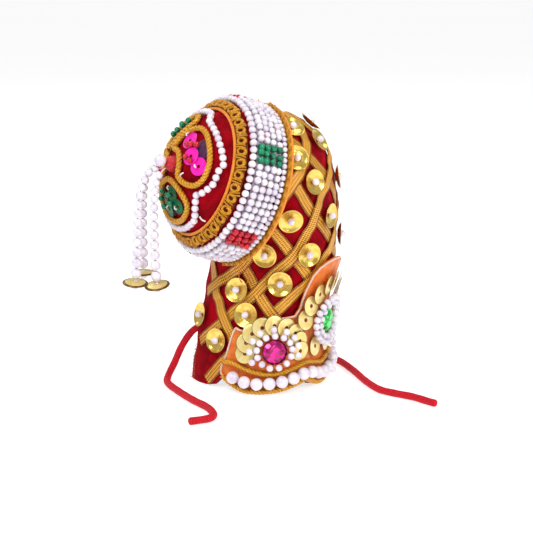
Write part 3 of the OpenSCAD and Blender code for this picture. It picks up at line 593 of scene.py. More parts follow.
cap = cap_sheet("cap_velvet", 0, 220, 110, 0.4)
dress(cap, velvet, lining)
apply_modifier(
    cap, "SOLIDIFY", thickness=CAP_WALL * MM, offset=-1, material_offset=1, material_offset_rim=1,
)
outline = [(w, 0, z) for z, w in OPEN_EDGE] + [(-w, 0, z) for z, w in OPEN_EDGE[::-1]]
opening = primitive(
    bpy.ops.mesh.primitive_circle_add, vertices=len(outline), radius=1, fill_type="NGON",
)
place_points(opening, outline)
grow(1, TRANSFORM_OT_translate={"value": (0, 60 * MM, 0)})
outwards()
apply_modifier(cap, "BOOLEAN", operation="DIFFERENCE", object=opening, solver="FAST")
bpy.data.objects.remove(opening)
bpy.ops.object.shade_smooth_by_angle(angle=math.radians(40))
ready(cap, "cap_velvet")
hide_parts("cap")

# Gold ribbon lattice
# Woven metallic ribbon about 5 mm wide with raised lengthwise ribs, laid in crossing diagonals
# and sewn down. It is cut at the open back and runs under the bun's braid and the tiara.
RIBBON_W, RIBBON_LIFT = 4.8, 0.34
BUN_TURN, BUN_TILT = math.radians(54.4), math.radians(17.5)
bun_dir = np.array([
    -math.sin(BUN_TURN) * math.cos(BUN_TILT), math.cos(BUN_TURN) * math.cos(BUN_TILT), math.sin(BUN_TILT)
])
bun_at = np.array([-23.8, 13.8, 87.6])
# Where a ribbon is cut: this near to the bun's axis in front of its back, and this near to the open back
BUN_CLEAR_R, BUN_CLEAR_Z, EDGE_CLEAR, TOP_CLEAR = 34.8, -22.3, 0.6, 4


def off_bun(p):
    out = (p - bun_at) @ bun_dir
    return out, np.linalg.norm(p - bun_at - np.multiply.outer(out, bun_dir), axis=-1)


def ribbon_fits(p):
    out, away = off_bun(p)
    edge = np.interp(p[2], OPEN_EDGE[:, 0], OPEN_EDGE[:, 1]) + EDGE_CLEAR + RIBBON_W / 2
    behind = p[1] > 0 and abs(p[0]) < edge and p[2] < OPEN_EDGE[-1, 0] + TOP_CLEAR
    return not behind and not (away < BUN_CLEAR_R and out > BUN_CLEAR_Z)


RIB_PITCH = 0.8
# The ribbon's section: place across as a share of its half width, and height
RIBS = [(-1, 0.14), (-0.94, 0.3), (-0.7, 0.24), (-0.5, 0.36), (-0.26, 0.22), (0, 0.34), (0.26, 0.22),
        (0.5, 0.36), (0.7, 0.24), (0.94, 0.3), (1, 0.14), (0.97, 0), (-0.97, 0)]


def ribbons(line, lifts):
    # The lengths of one ribbon: where it passes under the bun it is left out
    at = even(smooth_line(line, 8), 0.6)
    fits = [ribbon_fits(skin(q[0], q[1])) for q in at]
    lengths, part = [], []
    for q, fit in zip(list(at) + [None], fits + [False]):
        if fit:
            part.append(q)
        else:
            if len(part) > 12:
                lengths.append(ribbon(part, lifts))
            part = []
    return lengths


def ribbon(keep, lifts):
    # One ribbon: rings of points across it, with saw-toothed edges where the weft turns back
    a, v = np.array(keep).T
    run = runs(skin(a, v))
    steps = np.arange(0, run[-1], RIB_PITCH / 2)
    a, v = np.interp(steps, run, a), np.interp(steps, run, v)
    up = skin_normal(a, v)
    mid = on_skin(a, v, lifts(skin(a, v)))
    side = unit(np.cross(up, unit(np.gradient(mid, axis=0))))
    n, m = len(a), len(RIBS)
    on_thread = np.arange(n) % 2 == 0
    tooth, rib = np.where(on_thread, 1.0, 0.955), np.where(on_thread, 1.0, 0.62)
    rings = np.empty((n, m, 3))
    for k, (across, high) in enumerate(RIBS):
        rings[:, k] = mid + side * (across * tooth * RIBBON_W / 2)[:, None] + up * (high * rib)[:, None]
    faces, uv = [], []
    for i in range(n - 1):
        for k in range(m):
            j = (k + 1) % m
            faces.append((i * m + k, (i + 1) * m + k, (i + 1) * m + j, i * m + j))
            u0, u1 = RIBS[k][0] * RIBBON_W / 2, RIBS[j][0] * RIBBON_W / 2
            uv += [u0, steps[i], u0, steps[i + 1], u1, steps[i + 1], u1, steps[i]]
    faces += [tuple(range(m)), tuple((n - 1) * m + k for k in reversed(range(m)))]
    uv += [0.0, 0.0] * (2 * m)
    return new_piece("ribbon", rings, faces, uv)


def fuse(name, parts):
    # Joins loose parts into one piece
    bpy.ops.object.select_all(action="DESELECT")
    for part in parts:
        part.select_set(True)
    bpy.context.view_layer.objects.active = parts[0]
    if len(parts) > 1:
        bpy.ops.object.join()
    parts[0].name = name
    return parts[0]


# Metallic weave: ribs of crosswise threads, with painted shade between them, painted highlights on them and
# painted glints in patches
woven, tree = new_material("woven gold ribbon", Roughness=0.34, Metallic=0.25, Specular_IOR_Level=0.5)
across, along = uv_apart(tree)
slant = maths(tree, "ABSOLUTE", maths(tree, "SINE", maths(tree, "MULTIPLY", across, 2.6)))
weft = maths(tree, "MULTIPLY_ADD", slant, 0.25, maths(tree, "DIVIDE", along, RIB_PITCH))
weft = maths(tree, "COSINE", maths(tree, "MULTIPLY", weft, 2 * math.pi))
ridge = maths(tree, "COSINE", maths(tree, "MULTIPLY", across, 2 * math.pi / 1.2))
threads = maths(tree, "MULTIPLY_ADD", ridge, 0.24, maths(tree, "MULTIPLY_ADD", weft, 0.4, 0.5))
tooth = maths(tree, "MULTIPLY_ADD", weft, 0.2, 1.75)
selvedge = maths(tree, "GREATER_THAN", maths(tree, "ABSOLUTE", across), tooth)
# Painted glints: bright and dark noise patches in the colour
glint_patches = noise(tree, 1.6, 5, by="UV")
# Painted light and shade: darker where the threads' relief is low, lighter on its ridges
shade = maths(tree, "MULTIPLY_ADD", glint_patches, 1.3, maths(tree, "SUBTRACT", threads, 0.6))
shade = maths(tree, "MULTIPLY_ADD", selvedge, -0.6, shade)
paint(tree, shades(
    tree, shade, (0.12, (0.16, 0.035, 0.001)), (0.5, (0.7, 0.25, 0.004)), (0.95, (1.0, 0.58, 0.07)),
))
bump(tree, threads, 0.1, 0.8)

# The rising ribbons lie on top above the second height, and the falling ones below the first
OVER_FROM, OVER_TO = 36, 42
CLIMB = 0.72


def flat_lift(p):
    return np.full(len(p), RIBBON_LIFT)


def climb(others, rising):
    # Each ribbon lies on the velvet and climbs over the others where it is the upper one
    def lift(p):
        far = np.array([others.find(Vector(q))[2] for q in p])
        near = np.clip((4.6 - far) / 3, 0, 1)
        share = np.clip((p[:, 2] - OVER_FROM) / (OVER_TO - OVER_FROM), 0, 1)
        share = share if rising else 1 - share
        return RIBBON_LIFT + CLIMB * near * near * (3 - 2 * near) * share
    return lift


# Each layer is laid flat first, to find where the other one crosses it
layers = {}
for name, lines in RIBBON_LINES.items():
    laid = [r for line in lines for r in ribbons(line, flat_lift)]
    layers[name] = tree_of([v.co / MM for r in laid for v in list(r.data.vertices)[::4]])
    for r in laid:
        bpy.data.objects.remove(r)
for name, other in (
    ("ribbons_rising_right", "ribbons_rising_left"), ("ribbons_rising_left", "ribbons_rising_right"),
):
    lifts = climb(layers[other], name == "ribbons_rising_right")
    piece = fuse(name + "_woven", [r for line in RIBBON_LINES[name] for r in ribbons(line, lifts)])
    outwards()
    bpy.ops.object.shade_smooth_by_angle(angle=math.radians(50))
    ready(piece, name + "_woven", woven)
    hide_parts(name)

# Cupped sequins with a pearl in each
# Thin metallised discs, pressed into a shallow cup with eight flats round the eye and fine rings
# towards the edge. A small pearl sewn through the eye holds each in its diamond.
CUP_LIFT, CUP_FLATS, CUP_T = 0.8, 8, 0.16
# Place of each: degrees from the front, and mm up the cap's side
SEQUINS = [
    (138, 27.5), (111.5, 19.5), (94.5, 40), (82, 30.8), (66.5, 55.5), (52.5, 43.5),
    (30, 55.5), (44, 70.5), (23, 84), (36, 93), (29, 106), (4.5, 70), (-2.5, 98.5),
    (-23, 83), (-31, 106), (-20, 60), (-44, 71), (-52.5, 42.4), (-66.5, 55.5),
    (-80.6, 30.4), (-95, 41), (-111.5, 19.2), (-138, 27.5), (-90, 70), (-116, 56), (-64, 88),
]
# Radius and height of each ring, and whether it has flats
CUP_RINGS = [(0.5, 0.1, 0), (1.5, 0.12, 1), (3.5, 0.62, 1), (4.3, 1.12, 0), (4.85, 1.5, 0), (5.0, 1.5, 0)]


def fresh_uv(piece):
    # A new UV map, in place of one that came with the piece
    while piece.data.uv_layers:
        piece.data.uv_layers.remove(piece.data.uv_layers[0])
    return piece.data.uv_layers.new(name="UVMap").data


def map_uv(piece, at):
    # A UV map by a rule: at(point, face) is the place of a face's corner on it
    uv = fresh_uv(piece)
    for face in piece.data.polygons:
        for k, loop in zip(face.vertices, face.loop_indices):
            uv[loop].uv = at(k, face)


def disc_sequin(name, rings, thick, segments=32):
    # A sequin turned about +Z with its eye open: a ring of edges is extruded outwards, ring by ring
    piece = primitive(bpy.ops.mesh.primitive_circle_add, vertices=segments, radius=1 * MM)
    piece.name = name
    grow(len(rings) - 1)
    flats = 2 * math.pi / CUP_FLATS
    for i, vertex in enumerate(piece.data.vertices):
        radius, high, flat = rings[i // segments]
        turn = math.atan2(vertex.co.y, vertex.co.x)
        if flat:
            radius *= math.cos(flats / 2) / math.cos((turn % flats) - flats / 2)
        vertex.co = (radius * math.cos(turn) * MM, radius * math.sin(turn) * MM, high * MM)
    for face in piece.data.polygons:
        face.use_smooth = not all(rings[k // segments][2] for k in face.vertices)
    places = [(vertex.co.x / MM, vertex.co.y / MM) for vertex in piece.data.vertices]
    map_uv(piece, lambda k, face: places[k])
    outwards()
    face_out(piece, lambda p: (0, 0, 1))
    apply_modifier(piece, "SOLIDIFY", thickness=thick * MM, offset=-1)
    return piece


def turned_to(normal):
    # The turn that takes +Z to a normal, +X then running down the slope
    nx, ny, nz = normal
    steep = math.acos(max(-1, min(1, nz)))
    return Matrix.Rotation(math.atan2(ny, nx), 4, "Z") @ Matrix.Rotation(steep, 4, "Y")


def spot(p, normal, turn=0.0, scale=1.0):
    return (
        Matrix.Translation(Vector(p) * MM) @ turned_to(normal) @ Matrix.Rotation(turn, 4, "Z")
        @ Matrix.Scale(scale, 4)
    )


def copies(name, pattern, spots):
    # Copies of a pattern piece, each with its own mesh, joined; the pattern itself is then removed
    parts = []
    for where in spots:
        part = bpy.data.objects.new(name, pattern.data.copy())
        part.data.transform(where)
        bpy.context.collection.objects.link(part)
        parts.append(part)
    bpy.data.objects.remove(pattern)
    return fuse(name, parts)


# Metallised film: fine pressed rings, a darker edge and eye, small wrinkles, with painted light and shade
# along the rings and wrinkles
RING_PITCH, EYE_R = 0.42, 0.85
ringed, given, result = node_group("pressed rings", ("Edge",), ("Height", "Rim", "Relief Shade", "Eye"))
from_eye = ringed.nodes.new("ShaderNodeVectorMath")
from_eye.operation = "LENGTH"
ringed.links.new(coords_of(ringed, "UV"), from_eye.inputs[0])
radius = from_eye.outputs["Value"]
wrinkle = noise(ringed, 420, 3)
rings = maths(ringed, "SINE", maths(ringed, "MULTIPLY", radius, 2 * math.pi / RING_PITCH))
for socket, value in (
    ("Height", maths(ringed, "MULTIPLY_ADD", rings, 0.22, maths(ringed, "MULTIPLY", wrinkle, 1.3))),
    ("Rim", maths(ringed, "GREATER_THAN", radius, given["Edge"])),
    # Painted light and shade: the colour follows the rings and wrinkles of the relief
    ("Relief Shade", maths(ringed, "MULTIPLY_ADD", rings, 0.09, wrinkle)),
    ("Eye", maths(ringed, "LESS_THAN", radius, EYE_R)),
):
    ringed.links.new(value, result[socket])


def tinted(tree, colour, mask, tint):
    # A colour, with another in its place where a mask is 1
    mix = tree.nodes.new("ShaderNodeMix")
    mix.data_type = "RGBA"
    mix.inputs["B"].default_value = (*tint, 1)
    tree.links.new(colour, mix.inputs["A"])
    tree.links.new(mask, mix.inputs["Factor"])
    return mix.outputs["Result"]


def film_material(name, low, high, rim, edge, depth, eye, **values):
    m, tree = new_material(name, **values)
    pressed = grouped(tree, ringed, Edge=edge)
    colour = tinted(tree, shades(tree, pressed["Relief Shade"], (0.3, low), (0.7, high)), pressed["Rim"], rim)
    paint(tree, tinted(tree, colour, pressed["Eye"], eye))
    bump(tree, pressed["Height"], depth, 0.6)
    return m


cup_film = film_material(
    "gold cup film", (0.8, 0.5, 0.07), (0.98, 0.72, 0.19), (0.5, 0.26, 0.03), 4.85, 0.05, (0.5, 0.16, 0.03),
    Metallic=0.9, Roughness=0.2, Coat_Weight=0.3,
)
rng = random.Random(7)
cup = disc_sequin("cup", CUP_RINGS, CUP_T)
cups = copies("cap_cups", cup, [
    spot(on_skin(a, v, CUP_LIFT), skin_normal(a, v), rng.uniform(0, 6.28)) for a, v in SEQUINS
])
ready(cups, "cap_cups", cup_film)
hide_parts("cap_sequins")

# Pearl skin: white with a faint lilac body, a soft shine under a clear coat
pearl, tree = new_material(
    "lilac white pearl", Roughness=0.3, Coat_Weight=0.6, Coat_Roughness=0.08, Specular_IOR_Level=0.5,
    Sheen_Weight=0.15, Sheen_Tint=(1, 0.9, 1, 1),
)
paint(tree, shades(tree, noise(tree, 260), (0.3, (0.66, 0.58, 0.71)), (0.65, (0.87, 0.83, 0.88))))
bump(tree, noise(tree, 1500), 0.03, 0.4)
dress(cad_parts["cap_sequin_pearls"], pearl)

# Tiara band
# Padded orange satin cut to three scalloped panels, its raw edge bound with a whitish piping.
BAND_OUT, BAND_T, BAND_SPREAD = 2.75, 0.85, 206
PIPING_R = 0.4
band = primitive(bpy.ops.mesh.primitive_grid_add, x_subdivisions=206, y_subdivisions=26, size=1)
co = points_of(band)
a = co[:, 0] * BAND_SPREAD
share = co[:, 1] + 0.5
low, high = rim_at(a), crest_at(a)
v = low + share * (high - low)
quilted = 0.12 * np.sin(a * 0.9) * np.sin(v * 0.8)
points = on_skin(a, v, BAND_OUT - 0.08 + quilted * np.clip(np.minimum(share, 1 - share) * 6, 0, 1) * 0.5)
points[:, 2] = np.maximum(points[:, 2], 0.02)
place_points(band, points)
map_uv(band, lambda k, face: (a[k] * 0.43, v[k]))
outwards()
face_out(band, lambda p: (p.x, p.y, 0))
apply_modifier(band, "SOLIDIFY", thickness=BAND_T * MM, offset=-1)
bpy.ops.object.shade_smooth_by_angle(angle=math.radians(45))
satin, tree = new_material(
    "orange satin", Roughness=0.42, Sheen_Weight=0.15, Sheen_Roughness=0.3, Sheen_Tint=(1, 0.5, 0.3, 1),
)
thread = maths(tree, "SINE", maths(tree, "MULTIPLY", uv_apart(tree)[0], 2 * math.pi / 0.22))
paint(tree, shades(
    tree, noise(tree, 0.35, 4, by="UV"), (0.35, (0.95, 0.15, 0.01)), (0.65, (1.0, 0.3, 0.04)),
))
bump(tree, thread, 0.04)
ready(band, "tiara_satin", satin)
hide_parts("tiara_band")

edge_angles = np.linspace(-BAND_SPREAD / 2, BAND_SPREAD / 2, 260)
upper = [(a, crest_at(a) - 0.3) for a in edge_angles]
lower = [(a, rim_at(a) + 0.4) for a in edge_angles[::-1]]
sewn = np.array(upper + lower)
edge_line = even(on_skin(sewn[:, 0], sewn[:, 1], BAND_OUT + 0.05), 0.5, closed=True)
piping_thread = wound_material(
    "whitish piping", (0.55, 0.26, 0.14), (0.85, 0.72, 0.6), 0.6, 1, 0.1, Roughness=0.6,
)
piping = cord("tiara_piping", edge_line, PIPING_R, 8, closed=True, ups=unit(edge_line * [1, 1, 0]))
ready(piping, "tiara_piping", piping_thread)

# Twisted gold cords of the tiara
# Three plies of metallic yarn, couched over the satin: one along the scalloped lower edge, and
# one above the row of large pearls.
GOLD_D = 2
PLIES, PLY_PITCH, PLY_DEPTH = 3, 4.6, 0.28
CORD_LIFT = BAND_OUT + 0.1 + GOLD_D / 2
UPPER_CORD = [
    (101, 12), (92, 12.2), (77, 10), (64, 8.6), (52, 8.6), (40, 10), (27, 11.4), (14, 10.4), (0, 9.2),
]
LOWER_ANGLES = [100.5, 94, 87, 80, 73, 66, 58, 50, 43, 36, 31, 27, 22, 17, 12, 6, 0]
gold_yarn = wound_material(
    "gold metallic yarn", (0.26, 0.055, 0.0), (1.0, 0.5, 0.02), 0.5, 4, 0.16, PLIES, PLY_PITCH,
    Roughness=0.26, Metallic=0.2,
)


def plied(plies, pitch, depth):
    # The relief of a cord laid up from a number of plies
    def relief(turn, run):
        lay = np.abs(np.cos(plies / 2 * (turn - 2 * math.pi * run / pitch)))
        return 1 - depth + depth * lay ** 0.7 * 1.1
    return relief


gold_plies = plied(PLIES, PLY_PITCH, PLY_DEPTH)


def both_sides(places):
    return places + [(-a, v) for a, v in places[-2::-1]]


for name, places in (
    ("tiara_cord_upper", UPPER_CORD),
    ("tiara_cord_lower", [(a, max(float(rim_at(a)), 0.2) + GOLD_D / 2) for a in LOWER_ANGLES]),
):
    at = smooth_line(both_sides(places), 8)
    line = even(np.hstack([on_skin(at[:, 0], at[:, 1], CORD_LIFT), skin_normal(at[:, 0], at[:, 1])]), 0.26)
    line[:, 2] = np.maximum(line[:, 2], GOLD_D / 2 + 0.05)
    piece = cord(name + "_twisted", line[:, :3], GOLD_D / 2, 14, gold_plies, line[:, 3:])
    ready(piece, name + "_twisted", gold_yarn)
    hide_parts(name)
dress(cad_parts["tiara_large_pearls"], pearl)

# Fans of flat sequins
# Flat film discs laid like shingles round each panel's stone, with fine rings and an open eye.
FAN_COUNT, FAN_TIP, FAN_T = 9, 10.5, 0.12
# Middle of each panel's stone
PANELS = {"right": (56, 17.4), "centre": (0, 27.5), "left": (-56, 17.4)}
FAN_LIFT = BAND_OUT + 1.1
CENTRE_FAN_LIFT = FAN_LIFT + 1
FAN_RINGS = [(0.45, 0.1, 0), (0.9, 0.1, 0), (2.6, 0.12, 0), (4.1, 0.1, 0), (4.2, 0.06, 0)]


def beside(panel, dx, dy):
    # The place that lies dx across and dy up from the middle of a panel, in mm over the cloth
    a, v = panel
    width = np.linalg.norm(skin(a + 1, v + dy) - skin(a - 1, v + dy)) / 2
    return a + dx / width, v + dy


def fan_spot(panel, rx, ry, t, tip, lift):
    # One disc's place: t degrees round the stone, tipped on to the next one
    a, v = beside(panel, rx * math.sin(math.radians(t)), ry * math.cos(math.radians(t)))
    return (
        spot(on_skin(a, v, lift), skin_normal(a, v)) @ Matrix.Rotation(math.radians(t + 180), 4, "Z")
        @ Matrix.Rotation(math.radians(tip), 4, "X") @ Matrix.Rotation(rng.uniform(0, 6), 4, "Z")
    )


fan_film = film_material(
    "pale gold flat film", (0.88, 0.66, 0.18), (1.0, 0.85, 0.4), (0.16, 0.08, 0.01), 3.98, 0.06,
    (0.28, 0.04, 0.01), Metallic=0.55, Roughness=0.34, Coat_Weight=0.2,
)
for name, panel in PANELS.items():
    side = -1 if name == "left" else 1
    order = [i - FAN_COUNT // 2 for i in range(FAN_COUNT)]
    if name == "centre":
        spots = [fan_spot(panel, 12, 16.4, i * 21, FAN_TIP, CENTRE_FAN_LIFT) for i in order]
        spots += [fan_spot(panel, 9.6, 12.6, s * 150, 0, FAN_LIFT) for s in (-1, 1)]
    else:
        spots = [fan_spot(panel, 9.9, 9.9, side * i * 24, side * FAN_TIP, FAN_LIFT) for i in order]
    fan = copies("fan_" + name, disc_sequin("flat", FAN_RINGS, FAN_T, 28), spots)
    ready(fan, "fan_" + name + "_film", fan_film)
    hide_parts("fan_sequins_" + name)

# Pearl rings and stones of the tiara
# Each cut stone sits in a saw-edged foil cup inside a close ring of pearls. An outer row of small
# pearls is sewn over the eyes of the fan, and a short string hangs beside the middle panel.
for name in PANELS:
    dress(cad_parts["pearl_ring_" + name], pearl)


def small_pearl(name, diameter, segments=20, rings=12):
    # A pearl with its drilled ends pressed in, string running along +Z
    top = diameter / 2 * MM
    piece = primitive(
        bpy.ops.mesh.primitive_uv_sphere_add, segments=segments, ring_count=rings, radius=top,
    )
    piece.name = name
    for vertex in piece.data.vertices:
        if abs(vertex.co.z) > top * 0.999:
            vertex.co.z *= 0.72
        elif abs(vertex.co.z) > top * math.cos(math.pi / rings * 1.2):
            vertex.co.x *= 0.72
            vertex.co.y *= 0.72
    bpy.ops.object.shade_smooth()
    return piece


# Small pearls: size, how far each leans on its thread, how many round the middle stone, and
# where round the side ones, in degrees
OUTER_D, PEARL_LEAN, OUTER_COUNT = 2.7, 1.4, 22
OUTER_ANGLES = (-117, -90, -62, -35, -3, 27, 52, 77, 103)
outer = []
for name, panel in PANELS.items():
    if name == "centre":
        for i in range(OUTER_COUNT):
            t = math.radians(i * 360 / OUTER_COUNT)
            outer.append((beside(panel, 8.3 * math.sin(t), 10.2 * math.cos(t)), CENTRE_FAN_LIFT + 2.0))
    else:
        side = -1 if name == "left" else 1
        for degrees in OUTER_ANGLES:
            t = math.radians(degrees)
            outer.append((beside(panel, -side * 7.7 * math.sin(t), 8.8 * math.cos(t)), FAN_LIFT + 2.2))
outer += [((-12.5, 4.6 + i * 2.8), FAN_LIFT + 3.4) for i in range(7)]
pearls = copies("tiara_small_pearls", small_pearl("pearl", OUTER_D), [
    spot(on_skin(a, v, lift), skin_normal(a, v), rng.uniform(0, 6)) @ Matrix.Rotation(PEARL_LEAN, 4, "X")
    for (a, v), lift in outer
])
ready(pearls, "tiara_small_pearls", pearl)


def stone_material(name, deep, bright):
    # Clear cut resin over foil: painted patches of reflected light and shade, standing in for the facets of
    # its back
    m, tree = new_material(
        name, Roughness=0.12, Coat_Weight=0.35, Coat_Roughness=0.03, Specular_IOR_Level=0.5, Metallic=0.3,
    )
    facets = tree.nodes.new("ShaderNodeTexVoronoi")
    facets.inputs["Scale"].default_value = 620
    tree.links.new(coords_of(tree), facets.inputs["Vector"])
    split = tree.nodes.new("ShaderNodeSeparateColor")
    tree.links.new(facets.outputs["Color"], split.inputs[0])
    paint(tree, shades(tree, split.outputs[0], (0.1, deep), (0.8, bright)))
    return m


pink_glass = stone_material("pink cut stone", (0.25, 0.0, 0.07), (0.85, 0.0, 0.3))
green_glass = stone_material("green cut stone", (0.0, 0.26, 0.04), (0.05, 0.95, 0.14))
dress(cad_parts["pink_stone_right"], pink_glass)
dress(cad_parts["pink_stone_left"], pink_glass)
dress(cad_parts["green_stone"], green_glass)
FOIL_TEETH, FOIL_T = 16, 0.12
# Width, height and lift of each stone's foil
FOILS = {
    "right": (9.2, 9.2, FAN_LIFT + 0.3), "left": (9.2, 9.2, FAN_LIFT + 0.3),
    "centre": (8.4, 10.9, CENTRE_FAN_LIFT + 0.3),
}


def foil_cup(width, height):
    # A ring of foil round a stone, its upper edge cut into teeth
    piece = primitive(bpy.ops.mesh.primitive_circle_add, vertices=2 * FOIL_TEETH, radius=1)
    grow(1)
    for i, vertex in enumerate(piece.data.vertices):
        turn = math.atan2(vertex.co.y, vertex.co.x)
        if i < 2 * FOIL_TEETH:
            reach, high = 0.06, 0.0
        else:
            reach, high = (0.56, 1.35) if i % 2 else (0.36, 0.9)
        vertex.co = (
            (height / 2 + reach) * math.cos(turn) * MM, (width / 2 + reach) * math.sin(turn) * MM, high * MM
        )
    apply_modifier(piece, "SOLIDIFY", thickness=FOIL_T * MM, offset=1)
    return piece


foil = mottled("maroon foil", 900, (0.05, 0.0, 0.02), (0.3, 0.01, 0.1), Metallic=0.8, Roughness=0.3)
foils = []
for name, (width, height, lift) in FOILS.items():
    part = foil_cup(width, height)
    a, v = PANELS[name]
    part.data.transform(spot(on_skin(a, v, lift), skin_normal(a, v)))
    foils.append(part)
foils = fuse("stone_foils", foils)
ready(foils, "stone_foils", foil)

# Velvet bun
# A stuffed velvet drum with a domed face, sewn over the side of the cap. The face is pulled in
# where its trimmings are stitched and puckers towards the gold braid.
BUN_R, BUN_DEPTH = 30, 20.5
FACE_EDGE, FACE_RISE = 25.5, 13.5
FACE_R = (FACE_EDGE ** 2 + FACE_RISE ** 2) / (2 * FACE_RISE)
bun_frame = (
    Matrix.Translation(Vector(bun_at) * MM) @ Matrix.Rotation(math.pi / 2 + BUN_TURN, 4, "Z")
    @ Matrix.Rotation(math.pi / 2 - BUN_TILT, 4, "Y")
)


def face_normal(alpha, theta):
    # Degrees from the middle of the face, and clockwise from its top
    al, th = np.radians(alpha), np.radians(theta)
    return np.stack([-np.sin(al) * np.cos(th), np.sin(al) * np.sin(th), np.cos(al) * np.ones_like(th)], -1)


def on_face(alpha, theta, lift=0.0):
    centre = np.array([0, 0, FACE_RISE - FACE_R])
    return centre + (FACE_R + np.asarray(lift)[..., None]) * face_normal(alpha, theta)


def face_at(places, lift):
    # Places in degrees over the dome: across and up
    p = np.asarray(places, float)
    alpha, theta = np.linalg.norm(p, axis=-1), np.degrees(np.arctan2(p[..., 0], p[..., 1]))
    return on_face(alpha, theta, lift), face_normal(alpha, theta)


# The drum's rows from its back to the face, as radius and height, and then the dome's
DRUM_ROWS = [
    (24, -BUN_DEPTH), (27, -BUN_DEPTH), (BUN_R, -BUN_DEPTH), (BUN_R, -15), (BUN_R, -10), (BUN_R, -4.6),
    (28.7, -3.2), (26.5, -1.2),
]
DOME_ROWS, BUN_SIDES = 34, 144
DOME_EDGE = math.degrees(math.asin(23.8 / FACE_R))
# Folds and pulled places of the face: where, across and up in degrees, how wide and how high
PULLS = [
    (34, 33, 7, 1.0), (40, 24, 4, -1.6), (24, 39, 4, -1.2), (30, -26, 9, 0.5), (-38, -18, 7, 0.4),
    (14, 12, 6, -0.4), (-2, -28, 7, -0.3),
]
bun = primitive(bpy.ops.mesh.primitive_circle_add, vertices=BUN_SIDES, radius=1, fill_type="NGON")
grow(len(DRUM_ROWS) + DOME_ROWS - 1)
co = points_of(bun)
for i, turn in enumerate(np.arctan2(co[:, 1], co[:, 0])):
    level = i // BUN_SIDES
    if level < len(DRUM_ROWS):
        r, z = DRUM_ROWS[level]
        co[i] = (r * math.cos(turn), r * math.sin(turn), z)
        continue
    alpha = DOME_EDGE * (1 - (level - len(DRUM_ROWS) + 0.5) / DOME_ROWS)
    theta = 180 - math.degrees(turn)
    pucker = 0.35 * math.sin(theta * 0.23 + 1.3 * math.sin(theta * 0.05))
    pucker *= max(0, (alpha - 30) / 25) ** 1.5
    across, up = alpha * math.sin(math.radians(theta)), alpha * math.cos(math.radians(theta))
    for x, y, wide, deep in PULLS:
        pucker += deep * math.exp(-((across - x) ** 2 + (up - y) ** 2) / wide ** 2)
    co[i] = on_face(alpha, theta, pucker)
place_points(bun, co)
bun.data.update()
outwards()
bun.data.transform(bun_frame)
# What is inside the cap, closed below: the bun and its back braid are cut by it
core = cap_sheet("cap_core", 0.25, 90, 50)
bpy.ops.object.mode_set(mode="EDIT")
bpy.ops.mesh.select_all(action="DESELECT")
bpy.ops.mesh.select_non_manifold()
bpy.ops.mesh.edge_face_add()
bpy.ops.object.mode_set(mode="OBJECT")
outwards()
apply_modifier(bun, "BOOLEAN", operation="DIFFERENCE", object=core, solver="EXACT")
bpy.ops.object.shade_smooth_by_angle(angle=math.radians(40))
ready(bun, "bun_velvet", velvet)
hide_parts("bun")
inside_cap = BVHTree.FromObject(core, bpy.context.evaluated_depsgraph_get())


def in_cap(p, clear=0.0):
    # Whether a place in mm lies under the cap's skin, or closer to it than clear
    near, normal, _, _ = inside_cap.find_nearest(Vector(p) * MM)
    return (Vector(p) * MM - near).dot(normal) < clear * MM


# Gold scroll braid round the bun
# Machine-made gimp: an orange thread tape with gold yarn curled into rosettes along it and short
# bars between them. One braid frames the face, another edges the bun behind the garland.
FACE_CURLS, BACK_CURLS = 38, 52
CURL_R, YARN_R, BAR_R = 2.05, 0.48, 0.34
GIMP_PLIES, GIMP_PITCH = 2, 1.3


def curl(name):
    # One rosette, flat on XY: yarn wound in from the rim to the eye and up, and two bars beside it
    yarn = plied(GIMP_PLIES, GIMP_PITCH, 0.22)
    t = np.linspace(0, 1, 26)
    spin = t * 1.55 * 2 * math.pi
    r = CURL_R - 0.42 - 0.55 * t
    line = np.stack([r * np.cos(spin), 1.12 * r * np.sin(spin), 0.4 + 0.35 * t], 1)
    parts = [cord(name, line, YARN_R, 7, yarn)]
    across = np.linspace(-1, 1, 7)
    for x, bend in ((-0.5, 0.55), (0.55, 0.7)):
        bar = np.stack([2.35 + x + 0.15 * across, across * 2.0, 0.35 + bend * (1 - across ** 2)], 1)
        parts.append(cord("bar", bar, BAR_R, 6, yarn))
    return fuse(name, parts)


curl_gold = wound_material(
    "gold gimp yarn", (0.26, 0.055, 0.0), (1.0, 0.48, 0.015), 0.4, 3, 0.14, GIMP_PLIES, GIMP_PITCH,
    Roughness=0.28, Metallic=0.2,
)
tape_thread = wound_material(
    "orange gimp tape", (0.6, 0.12, 0.004), (1.0, 0.36, 0.02), 0.45, 0, 0.06, Roughness=0.55,
    Sheen_Weight=0.3, Sheen_Tint=(1, 0.7, 0.3, 1),
)
net_thread = wound_material(
    "maroon gimp ground", (0.06, 0.006, 0.0), (0.3, 0.05, 0.002), 0.45, 0, 0.06, Roughness=0.7,
)


def braid_spot(r, z, theta, lean):
    # On the bun: +Z out of the braid, +Y across it outwards, +X along it
    turn = math.radians(180 - theta)
    return (
        bun_frame @ Matrix.Rotation(turn, 4, "Z") @ Matrix.Translation(Vector((r, 0, z)) * MM)
        @ Matrix.Rotation(math.radians(-lean), 4, "Y") @ Matrix.Rotation(math.radians(-90), 4, "Z")
    )


